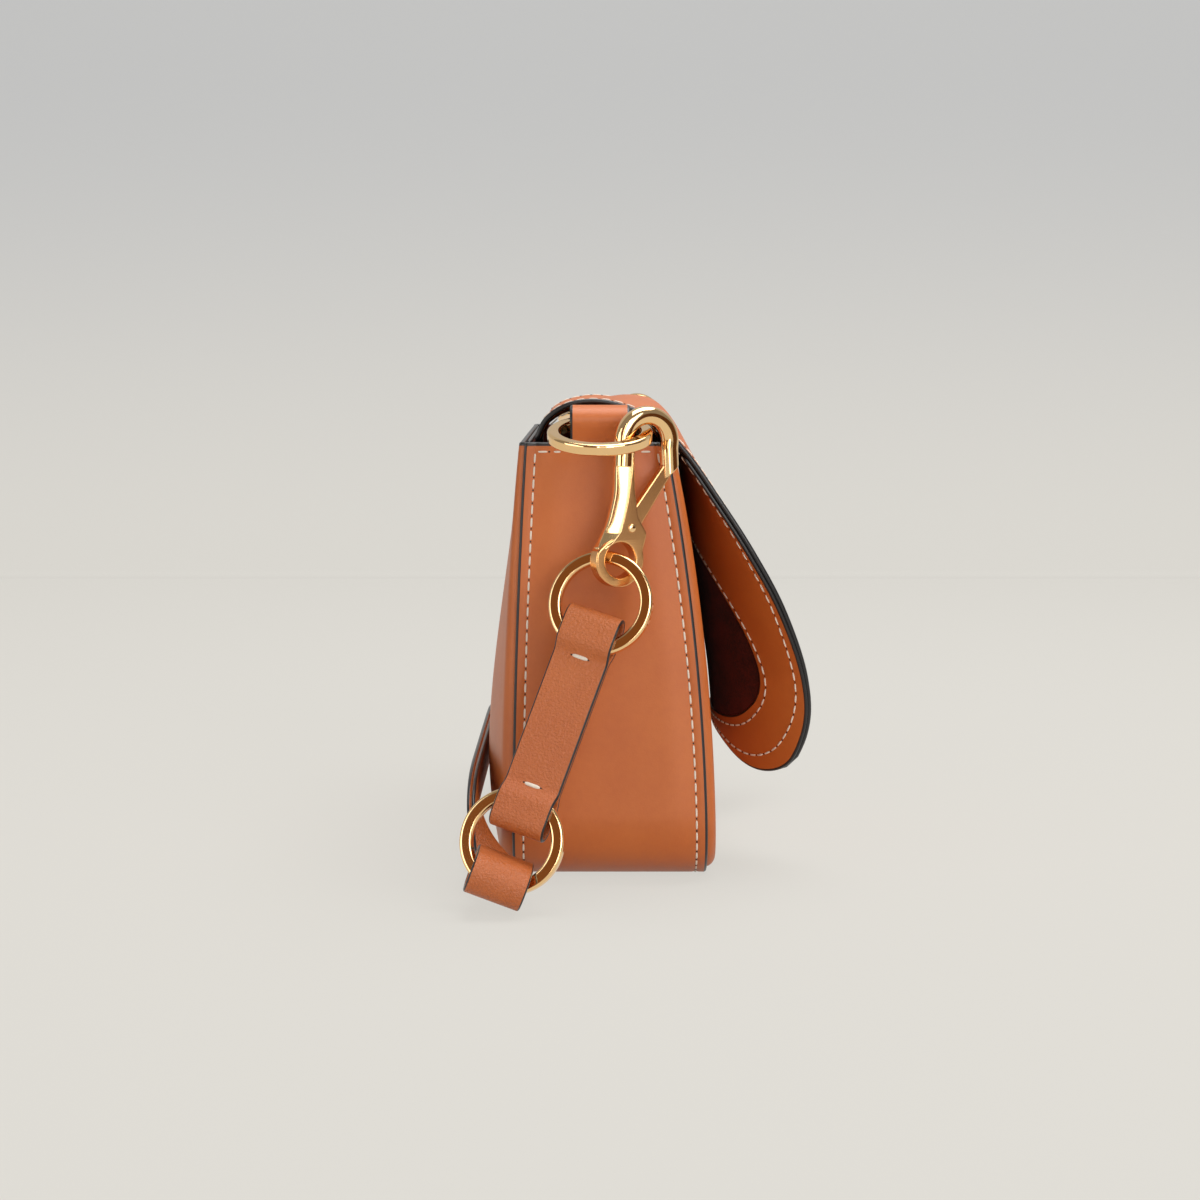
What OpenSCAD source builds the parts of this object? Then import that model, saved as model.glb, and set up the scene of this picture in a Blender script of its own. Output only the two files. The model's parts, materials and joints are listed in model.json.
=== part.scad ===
// A small leather shoulder bag with a flap, a short two-piece strap and snap hooks.
// Units are millimetres. X runs along the bag, the front faces -Y and Z is up.
// The origin lies at the middle of the underside.

/* [Body] */
// Length of the body from side strip to side strip
bag_l = 210; // [180:1:250]
// Height of the body up to the mouth
bag_h = 172; // [155:1:190]
// Depth of the side strip at the bottom, seam to seam
bag_d = 75; // [68:1:90]
// How far the front seam leans in by the mouth
front_taper = 16.5; // [10:0.5:18]
// How far the back seam leans in by the mouth
back_taper = 5.4; // [3:0.2:8]
// Thickness of the body leather
body_t = 2; // [1.6:0.1:2.4]
// Radius of the two lower corners, seen from the front
corner_r = 28; // [22:1:36]
// Radius on which a panel turns under the side strip
edge_r = 4; // [3.2:0.1:4.4]
// Width of the turned edge under the side strip
flange_w = 9; // [7:0.5:11]
// Swell of the front panel at its middle
front_swell = 1.6; // [0.5:0.1:2.4]
// Swell of the back panel at its middle
back_swell = 10.2; // [6:0.2:12]

/* [Lining] */
// Thickness of the suede lining
lining_t = 0.8; // [0.6:0.1:1.2]
// Padding space between a panel and its lining
padding_t = 2.4; // [2.2:0.1:3]
// Thickness of the base board
board_t = 1.6; // [1:0.1:1.9]
// Width of the inner slip pocket
pocket_w = 120; // [90:1:140]
// Height of the inner slip pocket
pocket_h = 84; // [60:1:95]
// Height of the pocket's lower edge
pocket_z = 48; // [40:1:55]

/* [Flap] */
// Width of the flap
flap_w = 186; // [170:1:186]
// Thickness of the outer leather of the flap
flap_t = 2; // [1.6:0.1:2.2]
// Thickness of the facing and suede under the flap
facing_t = 1.5; // [1.2:0.1:1.6]
// Width of the leather facing along the rim
facing_w = 15; // [14:0.5:24]
// Depth of the strip that anchors the flap inside the back panel
tail_h = 26; // [18:1:34]
// Diameter of the closing magnets
magnet_d = 14; // [10:0.5:16]
// Thickness of a closing magnet
magnet_t = 1.1; // [0.8:0.1:1.2]
// Height of the closing magnets
magnet_z = 76; // [66:1:84]

/* [Rings] */
// Outer diameter of every ring
ring_od = 40; // [38:0.5:42]
// Radial width of a ring's section
ring_w = 4.8; // [4.4:0.1:5]
// Axial thickness of a ring's section
ring_t = 4.2; // [3.6:0.1:4.4]
// Bevel on a ring's four edges
ring_bevel = 1.1; // [0.6:0.1:1.3]
// Droop of the side ring below level
side_ring_tilt = 15; // [10:1:20]

/* [Side tab] */
// Width of the folded tab that holds the side ring
tab_w = 21.5; // [18:0.5:24]
// Leather thickness of the folded tab
tab_t = 1.8; // [1.4:0.1:2]
// Length of the tab's inner leg below the mouth
tab_leg = 18; // [12:1:24]

/* [Snap hook] */
// Turn of the hook about the vertical
hook_yaw = 30; // [22:1:34]
// Thickness of the hook body
hook_t = 5.6; // [5.2:0.1:6]
// Inner radius of the hook's bow
bow_ri = 6.7; // [6.2:0.1:7.4]
// Width of the bow's bar
bow_w = 6; // [5:0.1:6.4]
// Distance from the bow's centre down to the eye
hook_drop = 44; // [42:0.2:50]
// Sideways step from the bow's centre to the eye
hook_step = 12.9; // [11:0.1:14]
// Radius of the eye hole
eye_ri = 6.6; // [6.4:0.1:6.8]
// Outer radius of the eye
eye_ro = 10.4; // [9.8:0.1:11]
// Thickness of the gate lever
gate_t = 3; // [2.6:0.1:3.4]
// Width of the gate lever
gate_w = 5; // [4.4:0.1:5.4]
// Radius of the gate's pin
pin_r = 1.5; // [1.2:0.05:1.7]
// Radius of a pin head
head_r = 2.1; // [1.9:0.05:2.4]

/* [Strap] */
// Width of the strap leather
strap_w = 22; // [18:0.5:24]
// Thickness of one layer of strap leather
strap_t = 1.8; // [1.4:0.1:2]
// Overall length of a short link
link_l = 89; // [82:0.5:92]
// Lean of the links towards the back
link_back = 20.8; // [16:0.2:24]
// Lean of the links away from the bag
link_out = 13; // [8:0.5:16]
// Turn of the links and upper rings about the vertical
link_yaw = 18; // [12:1:22]
// Rise of the long band's middle above its ends
band_arch = 19; // [14:0.5:30]

/* [Hidden] */

$fn = 48;

// Small gap between faces that lie against each other
touch = 0.05;
// Gap between soft pieces of different bodies
soft_gap = 0.4;
// How far a cut runs past a face
overrun = 1;

tan_leather = [0.76, 0.42, 0.22];
dark_suede = [0.16, 0.05, 0.03];
brass = [0.83, 0.62, 0.32];
white_thread = [0.93, 0.9, 0.85];
board_grey = [0.35, 0.33, 0.3];

half_l = bag_l / 2;

// Depth of the seam line at a height, with side 1 for the back and -1 for the front
function taper(side) = side > 0 ? back_taper : front_taper;
function seam_y(side, z) = side * (bag_d / 2 - taper(side) * pow(z / bag_h, 2));

// Swell of a panel over its length and height, fullest at a quarter of the height
swell_power = 1.3;
function swell(side, x, z) =
    (side > 0 ? back_swell : front_swell) * (1 - pow(x / half_l, 2))
    * pow(max(0, sin(180 * sqrt(z / bag_h))), swell_power);

// How much a panel thins towards the mouth
mouth_nip = 1.2;
nip_power = 8;

// Outer face of a panel
function face_y(side, x, z) =
    seam_y(side, z)
    + side * (edge_r + swell(side, x, z) - mouth_nip * pow(z / bag_h, nip_power));

// Closed sheet between two grids of points, both with rows of equal length
module sheet(outer, inner) {
    rows = len(outer);
    cols = len(outer[0]);
    flat_outer = [for (row = outer) for (p = row) p];
    flat_inner = [for (row = inner) for (p = row) p];
    half = rows * cols;
    top = [for (i = [0 : rows - 2]) for (j = [0 : cols - 2])
           each [[i * cols + j, i * cols + j + 1, (i + 1) * cols + j + 1],
                 [i * cols + j, (i + 1) * cols + j + 1, (i + 1) * cols + j]]];
    under = [for (f = top) [f[2] + half, f[1] + half, f[0] + half]];
    rim = concat([for (j = [0 : cols - 1]) j],
                 [for (i = [1 : rows - 1]) i * cols + cols - 1],
                 [for (j = [1 : cols - 1]) rows * cols - 1 - j],
                 [for (i = [1 : rows - 2]) (rows - 1 - i) * cols]);
    walls = [for (k = [0 : len(rim) - 1])
             let (a = rim[k], b = rim[(k + 1) % len(rim)])
             each [[a, a + half, b + half], [a, b + half, b]]];
    polyhedron(concat(flat_outer, flat_inner), concat(top, under, walls), convexity = 8);
}

// Number of steps along a side, round a corner and along the bottom of the outline
side_steps = 8;
corner_steps = 6;
bottom_steps = 8;
outline_steps = 2 * side_steps + 2 * corner_steps + bottom_steps;

// Point of the U-shaped outline at a step, drawn in by an inset, as [x, z]
function half_outline(i, inset) =
    i <= side_steps
    ? [inset - half_l, bag_h - (bag_h - corner_r) * i / side_steps]
    : i <= side_steps + corner_steps
    ? let (a = 90 * (i - side_steps) / corner_steps)
      [corner_r - half_l - (corner_r - inset) * cos(a), corner_r - (corner_r - inset) * sin(a)]
    : [(corner_r - half_l) * (1 - (i - side_steps - corner_steps) * 2 / bottom_steps), inset];
function outline(i, inset) =
    i <= outline_steps / 2 ? half_outline(i, inset)
    : let (p = half_outline(outline_steps - i, inset)) [-p[0], p[1]];

// Height on the middle line that an outline step is drawn towards
spine_low = 44;
function spine_z(i) =
    let (k = i <= outline_steps / 2 ? i : outline_steps - i)
    bag_h - (bag_h - spine_low) * k / (outline_steps / 2);

// Shares of the way from the panel's bend to its middle line
face_shares = [0, 0.14, 0.3, 0.47, 0.64, 0.82];
bend_steps = 3;

// Point of a panel's face, a share of the way in, set back under the outer face
function face_point(side, i, share, back) =
    let (p = outline(i, body_t + edge_r),
         x = p[0] * (1 - share),
         z = p[1] * (1 - share) + spine_z(i) * share)
    [x, face_y(side, x, z) - side * back, z];

// Point of the turned edge, at a share of its width
function flange_point(side, i, share, back) =
    let (p = outline(i, body_t + back))
    [p[0], seam_y(side, p[1]) - side * flange_w * (1 - share), p[1]];

// Point of the bend, at an angle from the turned edge
function bend_point(side, i, a, back) =
    let (r = edge_r - back, p = outline(i, body_t + edge_r - r * cos(a)))
    [p[0], seam_y(side, p[1]) * cos(a) + (face_y(side, p[0], p[1]) - side * edge_r) * (1 - cos(a))
           + side * r * sin(a), p[1]];

function panel_row(side, i, back) = concat(
    [for (s = [0, 0.5]) flange_point(side, i, s, back)],
    [for (k = [0 : bend_steps - 1]) bend_point(side, i, 90 * k / bend_steps, back)],
    [for (s = face_shares) face_point(side, i, s, back)]);

// Closed panel whose rows run in from the outline to a shared middle line
module panel_shell(side, rows_out, rows_in, spine_out, spine_in) {
    n = len(rows_out);
    m = len(rows_out[0]);
    h = (n - 1) / 2;
    half = n * m + h + 1;
    pts = concat([for (r = rows_out) for (p = r) p], spine_out,
                 [for (r = rows_in) for (p = r) p], spine_in);
    at = [for (i = [0 : n - 1])
          [for (j = [0 : m]) j < m ? i * m + j : n * m + min(i, n - 1 - i)]];
    quads = [for (i = [0 : n - 2]) for (j = [0 : m - 1])
             let (a = at[i][j], b = at[i][j + 1], c = at[i + 1][j + 1], d = at[i + 1][j])
             each concat(b == c ? [] : [[a, b, c]], [[a, c, d]])];
    top = side < 0 ? quads : [for (f = quads) [f[2], f[1], f[0]]];
    under = [for (f = top) [f[2] + half, f[1] + half, f[0] + half]];
    path = concat([for (i = [0 : n - 1]) at[i][0]],
                  [for (j = [1 : m]) at[n - 1][j]],
                  [for (j = [1 : m - 1]) at[0][m - j]]);
    rim = side < 0 ? path : [for (k = [len(path) - 1 : -1 : 0]) path[k]];
    walls = [for (k = [0 : len(rim) - 1])
             let (a = rim[k], b = rim[(k + 1) % len(rim)])
             each [[a, b, b + half], [a, b + half, a + half]]];
    polyhedron(pts, concat(top, under, walls), convexity = 10);
}

module panel(side) {
    color(tan_leather)
        panel_shell(side,
                    [for (i = [0 : outline_steps]) panel_row(side, i, 0)],
                    [for (i = [0 : outline_steps]) panel_row(side, i, body_t)],
                    [for (i = [0 : outline_steps / 2]) face_point(side, i, 1, 0)],
                    [for (i = [0 : outline_steps / 2]) face_point(side, i, 1, body_t)]);
}

// A lining sheet behind a panel's padding
module panel_lining(side) {
    near = body_t + padding_t;
    far = near + lining_t;
    color(dark_suede)
        panel_shell(side,
                    [for (i = [0 : outline_steps])
                     [for (s = face_shares) face_point(side, i, s, near)]],
                    [for (i = [0 : outline_steps])
                     [for (s = face_shares) face_point(side, i, s, far)]],
                    [for (i = [0 : outline_steps / 2]) face_point(side, i, 1, near)],
                    [for (i = [0 : outline_steps / 2]) face_point(side, i, 1, far)]);
}

// Solid within the outline drawn in by an inset
module rounded_front(inset) {
    w = bag_l - 2 * inset;
    r = corner_r - inset;
    translate([-w / 2, corner_r]) square([w, bag_h - corner_r]);
    translate([r - w / 2, inset]) square([w - 2 * r, corner_r]);
    for (sx = [-1, 1]) translate([sx * (w / 2 - r), corner_r]) circle(r);
}

seam_steps = 10;
// Side view between the two seams, let out or drawn in by a margin
module side_view(margin) {
    zs = [for (k = [0 : seam_steps]) bag_h * k / seam_steps];
    polygon(concat([for (z = zs) [seam_y(1, z) + margin, z]],
                   [for (k = [seam_steps : -1 : 0]) [seam_y(-1, zs[k]) - margin, zs[k]]]));
}

// Strip round the sides and bottom between two insets
module strip(inset_a, inset_b, margin) {
    intersection() {
        rotate([90, 0, 0])
            linear_extrude(2 * bag_d, center = true)
                difference() {
                    rounded_front(inset_a);
                    difference() {
                        rounded_front(inset_b);
                        translate([-bag_l, -bag_h]) square([2 * bag_l, bag_h + inset_b]);
                    }
                    translate([inset_b - half_l, bag_h - overrun])
                        square([bag_l - 2 * inset_b, 2 * overrun]);
                }
        rotate([90, 0, 90]) linear_extrude(2 * bag_l, center = true) side_view(margin);
    }
}

module gusset() {
    color(tan_leather) strip(0, body_t - touch, 0);
}

lining_inset = body_t + padding_t;
module gusset_lining() {
    color(dark_suede)
        strip(lining_inset, lining_inset + lining_t, edge_r - padding_t - body_t - lining_t);
}

board_gap = 1;
module base_board() {
    w = bag_l - 2 * corner_r;
    d = bag_d - 2 * flange_w - 2 * board_gap;
    color(board_grey) translate([-w / 2, -d / 2, body_t]) cube([w, d, board_t]);
}

pocket_steps = 8;
pocket_swell = 1.5;
pocket_gap = 0.5;
module inner_pocket() {
    set_back = body_t + padding_t + lining_t + pocket_gap;
    function pocket_y(x, z, share) =
        face_y(1, x, z) - set_back - share
        - pocket_swell * (1 - pow(2 * x / pocket_w, 4)) * (z - pocket_z) / pocket_h;
    function grid(share) =
        [for (k = [0 : pocket_steps]) let (z = pocket_z + pocket_h * k / pocket_steps)
         [for (j = [0 : pocket_steps]) let (x = pocket_w * (j / pocket_steps - 0.5))
          [x, pocket_y(x, z, share), z]]];
    color(dark_suede) sheet(grid(0), grid(lining_t));
}

tail_inset = 10;
tail_gap = 0.3;
tail_t = 1.6;
module flap_tail() {
    x_half = flap_w / 2 - tail_inset;
    function grid(back) =
        [for (k = [0 : 3]) let (z = bag_h - tail_h * k / 3)
         [for (j = [0 : pocket_steps]) let (x = x_half * (2 * j / pocket_steps - 1))
          [x, face_y(1, x, z) - body_t - back, z]]];
    color(tan_leather) sheet(grid(tail_gap + tail_t), grid(tail_gap));
}

module body_magnet() {
    y = face_y(-1, 0, magnet_z) + body_t;
    rise = face_y(-1, 0, magnet_z + magnet_d / 2) - face_y(-1, 0, magnet_z - magnet_d / 2);
    seat_gap = 0.6;
    color(board_grey)
        translate([0, y + seat_gap, magnet_z])
            rotate([-90 - atan2(rise, magnet_d), 0, 0]) cylinder(d = magnet_d, h = magnet_t);
}

// Places along the flap, as shares of the body's depth and height, from the hinge down
centre_shares = [[0.400, 1.003], [0.352, 1.040], [0.235, 1.072], [0.075, 1.083],
                 [-0.090, 1.089], [-0.250, 1.078], [-0.370, 1.026], [-0.437, 0.941],
                 [-0.472, 0.824], [-0.524, 0.689], [-0.567, 0.554], [-0.610, 0.420],
                 [-0.635, 0.286]];
rim_shares = [[0.400, 1.003], [0.345, 1.055], [0.230, 1.090], [0.080, 1.100],
              [-0.080, 1.086], [-0.242, 1.050], [-0.398, 0.983], [-0.572, 0.876],
              [-0.750, 0.756], [-0.920, 0.617], [-1.045, 0.455], [-1.050, 0.314],
              [-0.902, 0.214]];
// Half width at each of those places, as shares of the flap's half width
width_shares = [0.985, 0.99, 1, 1, 1, 1, 1, 1, 0.985, 0.94, 0.87, 0.75, 0.45];
flap_rows = 24;
flap_cols = 16;

// Smooth curve through a table of points, at a share of the way along it
function smooth(table, share) =
    let (n = len(table) - 1, s = min(max(share, 0), 1) * n, k = min(floor(s), n - 1), f = s - k,
         a = table[max(k - 1, 0)], b = table[k], c = table[k + 1], d = table[min(k + 2, n)])
    0.5 * (2 * b + (c - a) * f + (2 * a - 5 * b + 4 * c - d) * f * f
           + (3 * b - a - 3 * c + d) * f * f * f);

rim_power = 3;
// Middle surface of the flap over u from -1 to 1 across and t from 0 to 1 down
function flap_mid(u, t) =
    let (c = smooth(centre_shares, t), r = smooth(rim_shares, t), k = pow(abs(u), rim_power),
         p = c + (r - c) * k)
    [u * smooth(width_shares, t) * flap_w / 2, p[0] * bag_d, p[1] * bag_h];

// Outward direction of the flap's surface
fine = 0.004;
function flap_out(u, t) =
    let (du = flap_mid(min(u + fine, 1), t) - flap_mid(max(u - fine, -1), t),
         dt = flap_mid(u, min(t + fine, 1)) - flap_mid(u, max(t - fine, 0)),
         n = cross(dt, du))
    n / norm(n);

// Grid of flap points from one row to another, set back under the outer face
function flap_grid(row_from, row_to, back) =
    [for (i = [row_from : row_to]) let (t = flap_t_from + (1 - flap_t_from) * i / flap_rows)
     [for (j = [0 : flap_cols]) let (u = 2 * j / flap_cols - 1)
      flap_mid(u, t) - back * flap_out(u, t)]];

// Grid of flap points within a border across and a margin down, set back under the outer face
function border_grid(border, margin, back) =
    [for (i = [0 : flap_rows])
     let (k = i / flap_rows, t = (suede_t_from + margin) * (1 - k) + (suede_t_to - margin) * k)
     [for (j = [0 : flap_cols])
      let (u = (1 - border / (smooth(width_shares, t) * flap_w / 2)) * (2 * j / flap_cols - 1))
      flap_mid(u, t) - back * flap_out(u, t)]];

flap_t_from = 0.02;
// Share of the way down the flap at which its magnet lies
magnet_share = 0.9;
// Leather left over the flap's magnet
magnet_cover = 0.8;
// Disc in the flap at the magnet, from a depth under the outer face
module flap_disc(r, from, thick) {
    n = flap_out(0, magnet_share);
    translate(flap_mid(0, magnet_share))
        rotate([acos(n[2]), 0, 0])
            translate([0, 0, -from - thick]) cylinder(r = r, h = thick);
}

module flap_leather() {
    color(tan_leather)
        difference() {
            sheet(flap_grid(0, flap_rows, 0), flap_grid(0, flap_rows, flap_t));
            flap_disc(magnet_d / 2 + touch, magnet_cover - touch, flap_t);
        }
}

module flap_magnet() {
    color(board_grey) flap_disc(magnet_d / 2, magnet_cover, magnet_t);
}

// Length of the flap from hinge to tip, as a share of the body's height
flap_run = 1.6;
// Share of the flap's length that the facing covers at its lower end
facing_share = facing_w / (bag_h * flap_run);
suede_t_from = 0.71;
suede_t_to = 1 - facing_share;
// Row of the flap at which the facing begins
facing_row = 12;
// Prism through the facing within a border
module flap_hole(border, margin) {
    sheet(border_grid(border, margin, flap_t - overrun),
          border_grid(border, margin, flap_t + facing_t + overrun));
}

module flap_facing() {
    color(tan_leather)
        difference() {
            sheet(flap_grid(facing_row, flap_rows, flap_t + touch),
                  flap_grid(facing_row, flap_rows, flap_t + facing_t));
            flap_hole(facing_w, 0);
        }
}

suede_gap = 0.4;
suede_set = 0.4;
module flap_suede() {
    color(dark_suede)
        intersection() {
            sheet(flap_grid(facing_row, flap_rows, flap_t + touch),
                  flap_grid(facing_row, flap_rows, flap_t + facing_t - suede_set));
            flap_hole(facing_w + suede_gap, fine);
        }
}

// Builds on the left side, and on the right side as its mirror image
module on_side(sx) {
    if (sx < 0) children();
    else mirror([1, 0, 0]) children();
}

// One ring of bevelled section about the Z axis
module ring() {
    ro = ring_od / 2;
    ri = ro - ring_w;
    h = ring_t / 2;
    b = ring_bevel;
    color(brass)
        rotate_extrude($fn = 96)
            polygon([[ri, b - h], [ri + b, -h], [ro - b, -h], [ro, b - h],
                     [ro, h - b], [ro - b, h], [ri + b, h], [ri, h - b]]);
}

ring_rm = (ring_od - ring_w) / 2;
// Middle of the tabs and side rings along the depth
tab_y = 4;
// Space inside the tab's fold round the ring
fold_gap = 0.8;
// How far the fold reaches in over the mouth and out past the side strip
fold_in = 9;
fold_out = 3.4;
// Far point of the side ring inside the fold
fold_x = half_l - fold_in;
side_ring_x = fold_x + ring_od / 2 * cos(side_ring_tilt) + ring_t / 2 * sin(side_ring_tilt);
// Height of the side ring's bar inside the fold, above the mouth
fold_rise = 8.5;
// Extra roundness of the fold over the ring
fold_head = 1.3;
side_ring_z = bag_h + fold_rise - ring_rm * sin(side_ring_tilt);

module side_ring(sx) {
    on_side(sx)
        translate([-side_ring_x, tab_y, side_ring_z])
            rotate([0, -side_ring_tilt, 0]) ring();
}

// Side view of the tab: a band folded over the ring and down inside the mouth
tab_steps = 10;
module tab(sx) {
    fold_r = ring_t / 2 + fold_gap + fold_head + ring_w / 2 * sin(side_ring_tilt);
    cz = bag_h + fold_rise;
    x_in = -fold_x + fold_gap;
    x_out = -half_l - fold_out;
    outer_top = [for (k = [0 : tab_steps]) let (a = 180 * k / tab_steps)
                 [(x_in + x_out) / 2 + ((x_in - x_out) / 2 + tab_t) * cos(a),
                  cz + (fold_r + tab_t) * sin(a)]];
    inner_top = [for (k = [tab_steps : -1 : 0]) let (a = 180 * k / tab_steps)
                 [(x_in + x_out) / 2 + (x_in - x_out) / 2 * cos(a), cz + fold_r * sin(a)]];
    x_leg = body_t + touch - half_l;
    color(tan_leather)
        on_side(sx)
            translate([0, tab_y, 0])
                rotate([90, 0, 0])
                    linear_extrude(tab_w, center = true)
                        polygon(concat(outer_top,
                                       [[-half_l, bag_h + touch], [tab_t - half_l, bag_h + touch]],
                                       inner_top,
                                       [[x_leg, bag_h], [x_leg, bag_h - tab_leg],
                                        [x_leg + tab_t, bag_h - tab_leg],
                                        [x_leg + tab_t, bag_h]]));
}

// Turn round the side ring at which the hook sits, away from the front
bar_turn = 2;
bar_x = ring_rm * sin(bar_turn);
bar_at = [bar_x * cos(side_ring_tilt) - side_ring_x, tab_y - ring_rm * cos(bar_turn),
          side_ring_z + bar_x * sin(side_ring_tilt)];
// Distance from the ring's bar up to the inside of the hook's bow
seat = 3.9;
bow_ro = bow_ri + bow_w;
bow_at = bar_at - [0, 0, bow_ri - seat];
eye_uv = [-hook_step, -hook_drop];

// Places on the hook's plate, as shares of its step and drop
pivot_share = [-0.61, -0.73];
arm_in_share = [0.574, -0.183];
arm_out_share = [1.015, -0.308];
plate_right_shares = [[-0.36, -0.98], [-0.085, -0.78], [-0.42, -0.625], [-0.504, -0.40]];
plate_left_shares = [[-1.08, -0.446], [-1.32, -0.737], [-1.62, -0.926]];
function on_plate(share) = [share[0] * hook_step, share[1] * hook_drop];
pivot = on_plate(pivot_share);

// Stands the hook's own plane up at the bow's centre
module at_hook() {
    translate(bow_at) rotate([90, 0, hook_yaw - 90]) children();
}

hub_wall = 2;
hub_r = pin_r + hub_wall;
// Radius within the hub at which the lever's sides start
grip_r = pin_r + hub_wall / 2;
spring_t = 0.4;
slot_gap = 0.2;
slot_r = hub_r + spring_t + 2 * slot_gap;
gate_gap = 0.3;
// Directions of the slot's two sides, seen from the gate's pivot
slot_from = 28;
slot_to = 88;
slot_reach = 15;
// Direction and reach of the room for the opened gate
slot_room = 122;
room_reach = 10;

module hook_outline() {
    intersection() {
        difference() {
            circle(bow_ro);
            circle(bow_ri);
        }
        translate([-bow_ro, 0]) square([2 * bow_ro, bow_ro]);
    }
    polygon([on_plate(arm_in_share), on_plate(arm_out_share), [bow_ro, touch], [bow_ri, touch]]);
    polygon(concat([[-bow_ro, touch]], [for (s = plate_left_shares) on_plate(s)],
                   [for (s = plate_right_shares) on_plate(s)], [[-bow_ri, touch]]));
    translate(eye_uv) circle(eye_ro);
}

module hook(sx) {
    color(brass)
        on_side(sx) at_hook()
            difference() {
                linear_extrude(hook_t, center = true) hook_outline();
                translate([eye_uv[0], eye_uv[1], -hook_t])
                    cylinder(r = eye_ri, h = 2 * hook_t);
                translate([pivot[0], pivot[1], -hook_t])
                    cylinder(r = pin_r + touch, h = 2 * hook_t);
                translate([pivot[0], pivot[1], 0])
                    linear_extrude(gate_t + 2 * slot_gap, center = true) {
                        circle(slot_r);
                        polygon([[0, 0],
                                 slot_reach * [cos(slot_from - 45), sin(slot_from - 45)],
                                 slot_reach * [cos(slot_from), sin(slot_from)],
                                 slot_reach * [cos(slot_to), sin(slot_to)],
                                 room_reach * [cos(slot_room), sin(slot_room)]]);
                    }
            }
}

module gate(sx) {
    along = on_plate(arm_out_share) - on_plate(arm_in_share);
    away = [along[1], -along[0]] / norm(along);
    tip_in = on_plate(arm_in_share) + gate_gap * away;
    tip_out = tip_in + gate_w * along / norm(along);
    color(brass)
        on_side(sx) at_hook()
            difference() {
                linear_extrude(gate_t, center = true) {
                    translate(pivot) circle(hub_r);
                    polygon([pivot + grip_r * [cos(120), sin(120)],
                             pivot + grip_r * [cos(-30), sin(-30)], tip_out, tip_in]);
                }
                translate([pivot[0], pivot[1], -hook_t])
                    cylinder(r = pin_r + touch, h = 2 * hook_t);
            }
}

head_h = 0.5;
module gate_pin(sx) {
    color(brass)
        on_side(sx) at_hook() translate([pivot[0], pivot[1], 0]) {
            cylinder(r = pin_r, h = hook_t + head_h + 2 * touch, center = true);
            for (m = [0, 1]) mirror([0, 0, m])
                translate([0, 0, hook_t / 2 + touch]) cylinder(r1 = head_r, r2 = pin_r, h = head_h);
        }
}

spring_from = 150;
spring_turn = 130;
module gate_spring(sx) {
    r = hub_r + slot_gap;
    color(board_grey)
        on_side(sx) at_hook() translate([pivot[0], pivot[1], 0])
            rotate([0, 0, spring_from])
                rotate_extrude(angle = spring_turn)
                    translate([r, -gate_t / 2]) square([spring_t, gate_t]);
}

// Directions of a link: down along it, out of its face and across it
down_raw = [-tan(link_out), tan(link_back), -1];
down = down_raw / norm(down_raw);
face_raw = [-cos(link_yaw), sin(link_yaw), 0];
face_flat = face_raw - (face_raw * down) * down;
face = face_flat / norm(face_flat);
across = cross(-down, face);

eye_at = bow_at + [eye_uv[0] * sin(hook_yaw), -eye_uv[0] * cos(hook_yaw), eye_uv[1]];
upper_at = eye_at + ring_rm * down;
// How far a link's fold lies below the middle of its ring
crest_drop = 3;
lower_at = upper_at + (link_l + 2 * crest_drop) * down;

// Stands a link's own axes up at a point: across, up along the link and out of its face
module at_link(p) {
    multmatrix([[across[0], -down[0], face[0], p[0]],
                [across[1], -down[1], face[1], p[1]],
                [across[2], -down[2], face[2], p[2]]]) children();
}

module upper_ring(sx) {
    on_side(sx) at_link(upper_at) ring();
}

module lower_ring(sx) {
    on_side(sx) at_link(lower_at) ring();
}

loop_steps = 8;
// Open loop of leather at one end of a strap: half gap, length of its straight part and taper
module loop_outline(gap, straight, pinch, layer) {
    r = gap + layer;
    tip = r + straight;
    outer = concat([for (k = [0 : loop_steps]) let (a = 90 + 180 * k / loop_steps)
                    [r + r * cos(a), r * sin(a)]],
                   [[tip, -r], [tip + pinch, -layer], [tip + pinch, layer], [tip, r]]);
    inner = concat([for (k = [0 : loop_steps]) let (a = 90 + 180 * k / loop_steps)
                    [r + gap * cos(a), gap * sin(a)]],
                   [[tip, -gap], [tip + pinch - layer / 2, -touch],
                    [tip + pinch - layer / 2, touch], [tip, gap]]);
    difference() {
        polygon(outer);
        polygon(inner);
    }
}

link_slack = 1.3;
link_gap = ring_t / 2 + link_slack;
// Shift of a link out of the plane of its rings, so that it rests against them
link_set = -1;
// Reach of a ring's section along a strap that crosses it
ring_reach = ring_od / 2 - crest_drop;
link_straight = ring_reach + soft_gap - link_gap - strap_t;
link_pinch = 4.2;
module link(sx) {
    mid_from = link_gap + strap_t + link_straight + link_pinch - soft_gap;
    color(tan_leather)
        on_side(sx) at_link((upper_at + lower_at) / 2 + link_set * face)
            rotate([0, -90, 0]) rotate([0, 0, -90])
                linear_extrude(strap_w, center = true) {
                    for (m = [0, 1]) mirror([m, 0])
                        translate([-link_l / 2, 0])
                            loop_outline(link_gap, link_straight, link_pinch, strap_t);
                    translate([mid_from - link_l / 2, -strap_t])
                        square([link_l - 2 * mid_from, 2 * strap_t]);
                }
}

stitch_l = 6.5;
stitch_w = 1.4;
stitch_h = 0.6;
// Bar of thread lying on a face, seen end on as a flat-bottomed bead
module bar_stitch() {
    b = stitch_w / 4;
    rotate([90, 0, 90])
        linear_extrude(stitch_l, center = true)
            polygon([[-stitch_w / 2, touch], [stitch_w / 2, touch], [stitch_w / 2, touch + b],
                     [b, stitch_h], [-b, stitch_h], [-stitch_w / 2, touch + b]]);
}

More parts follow.
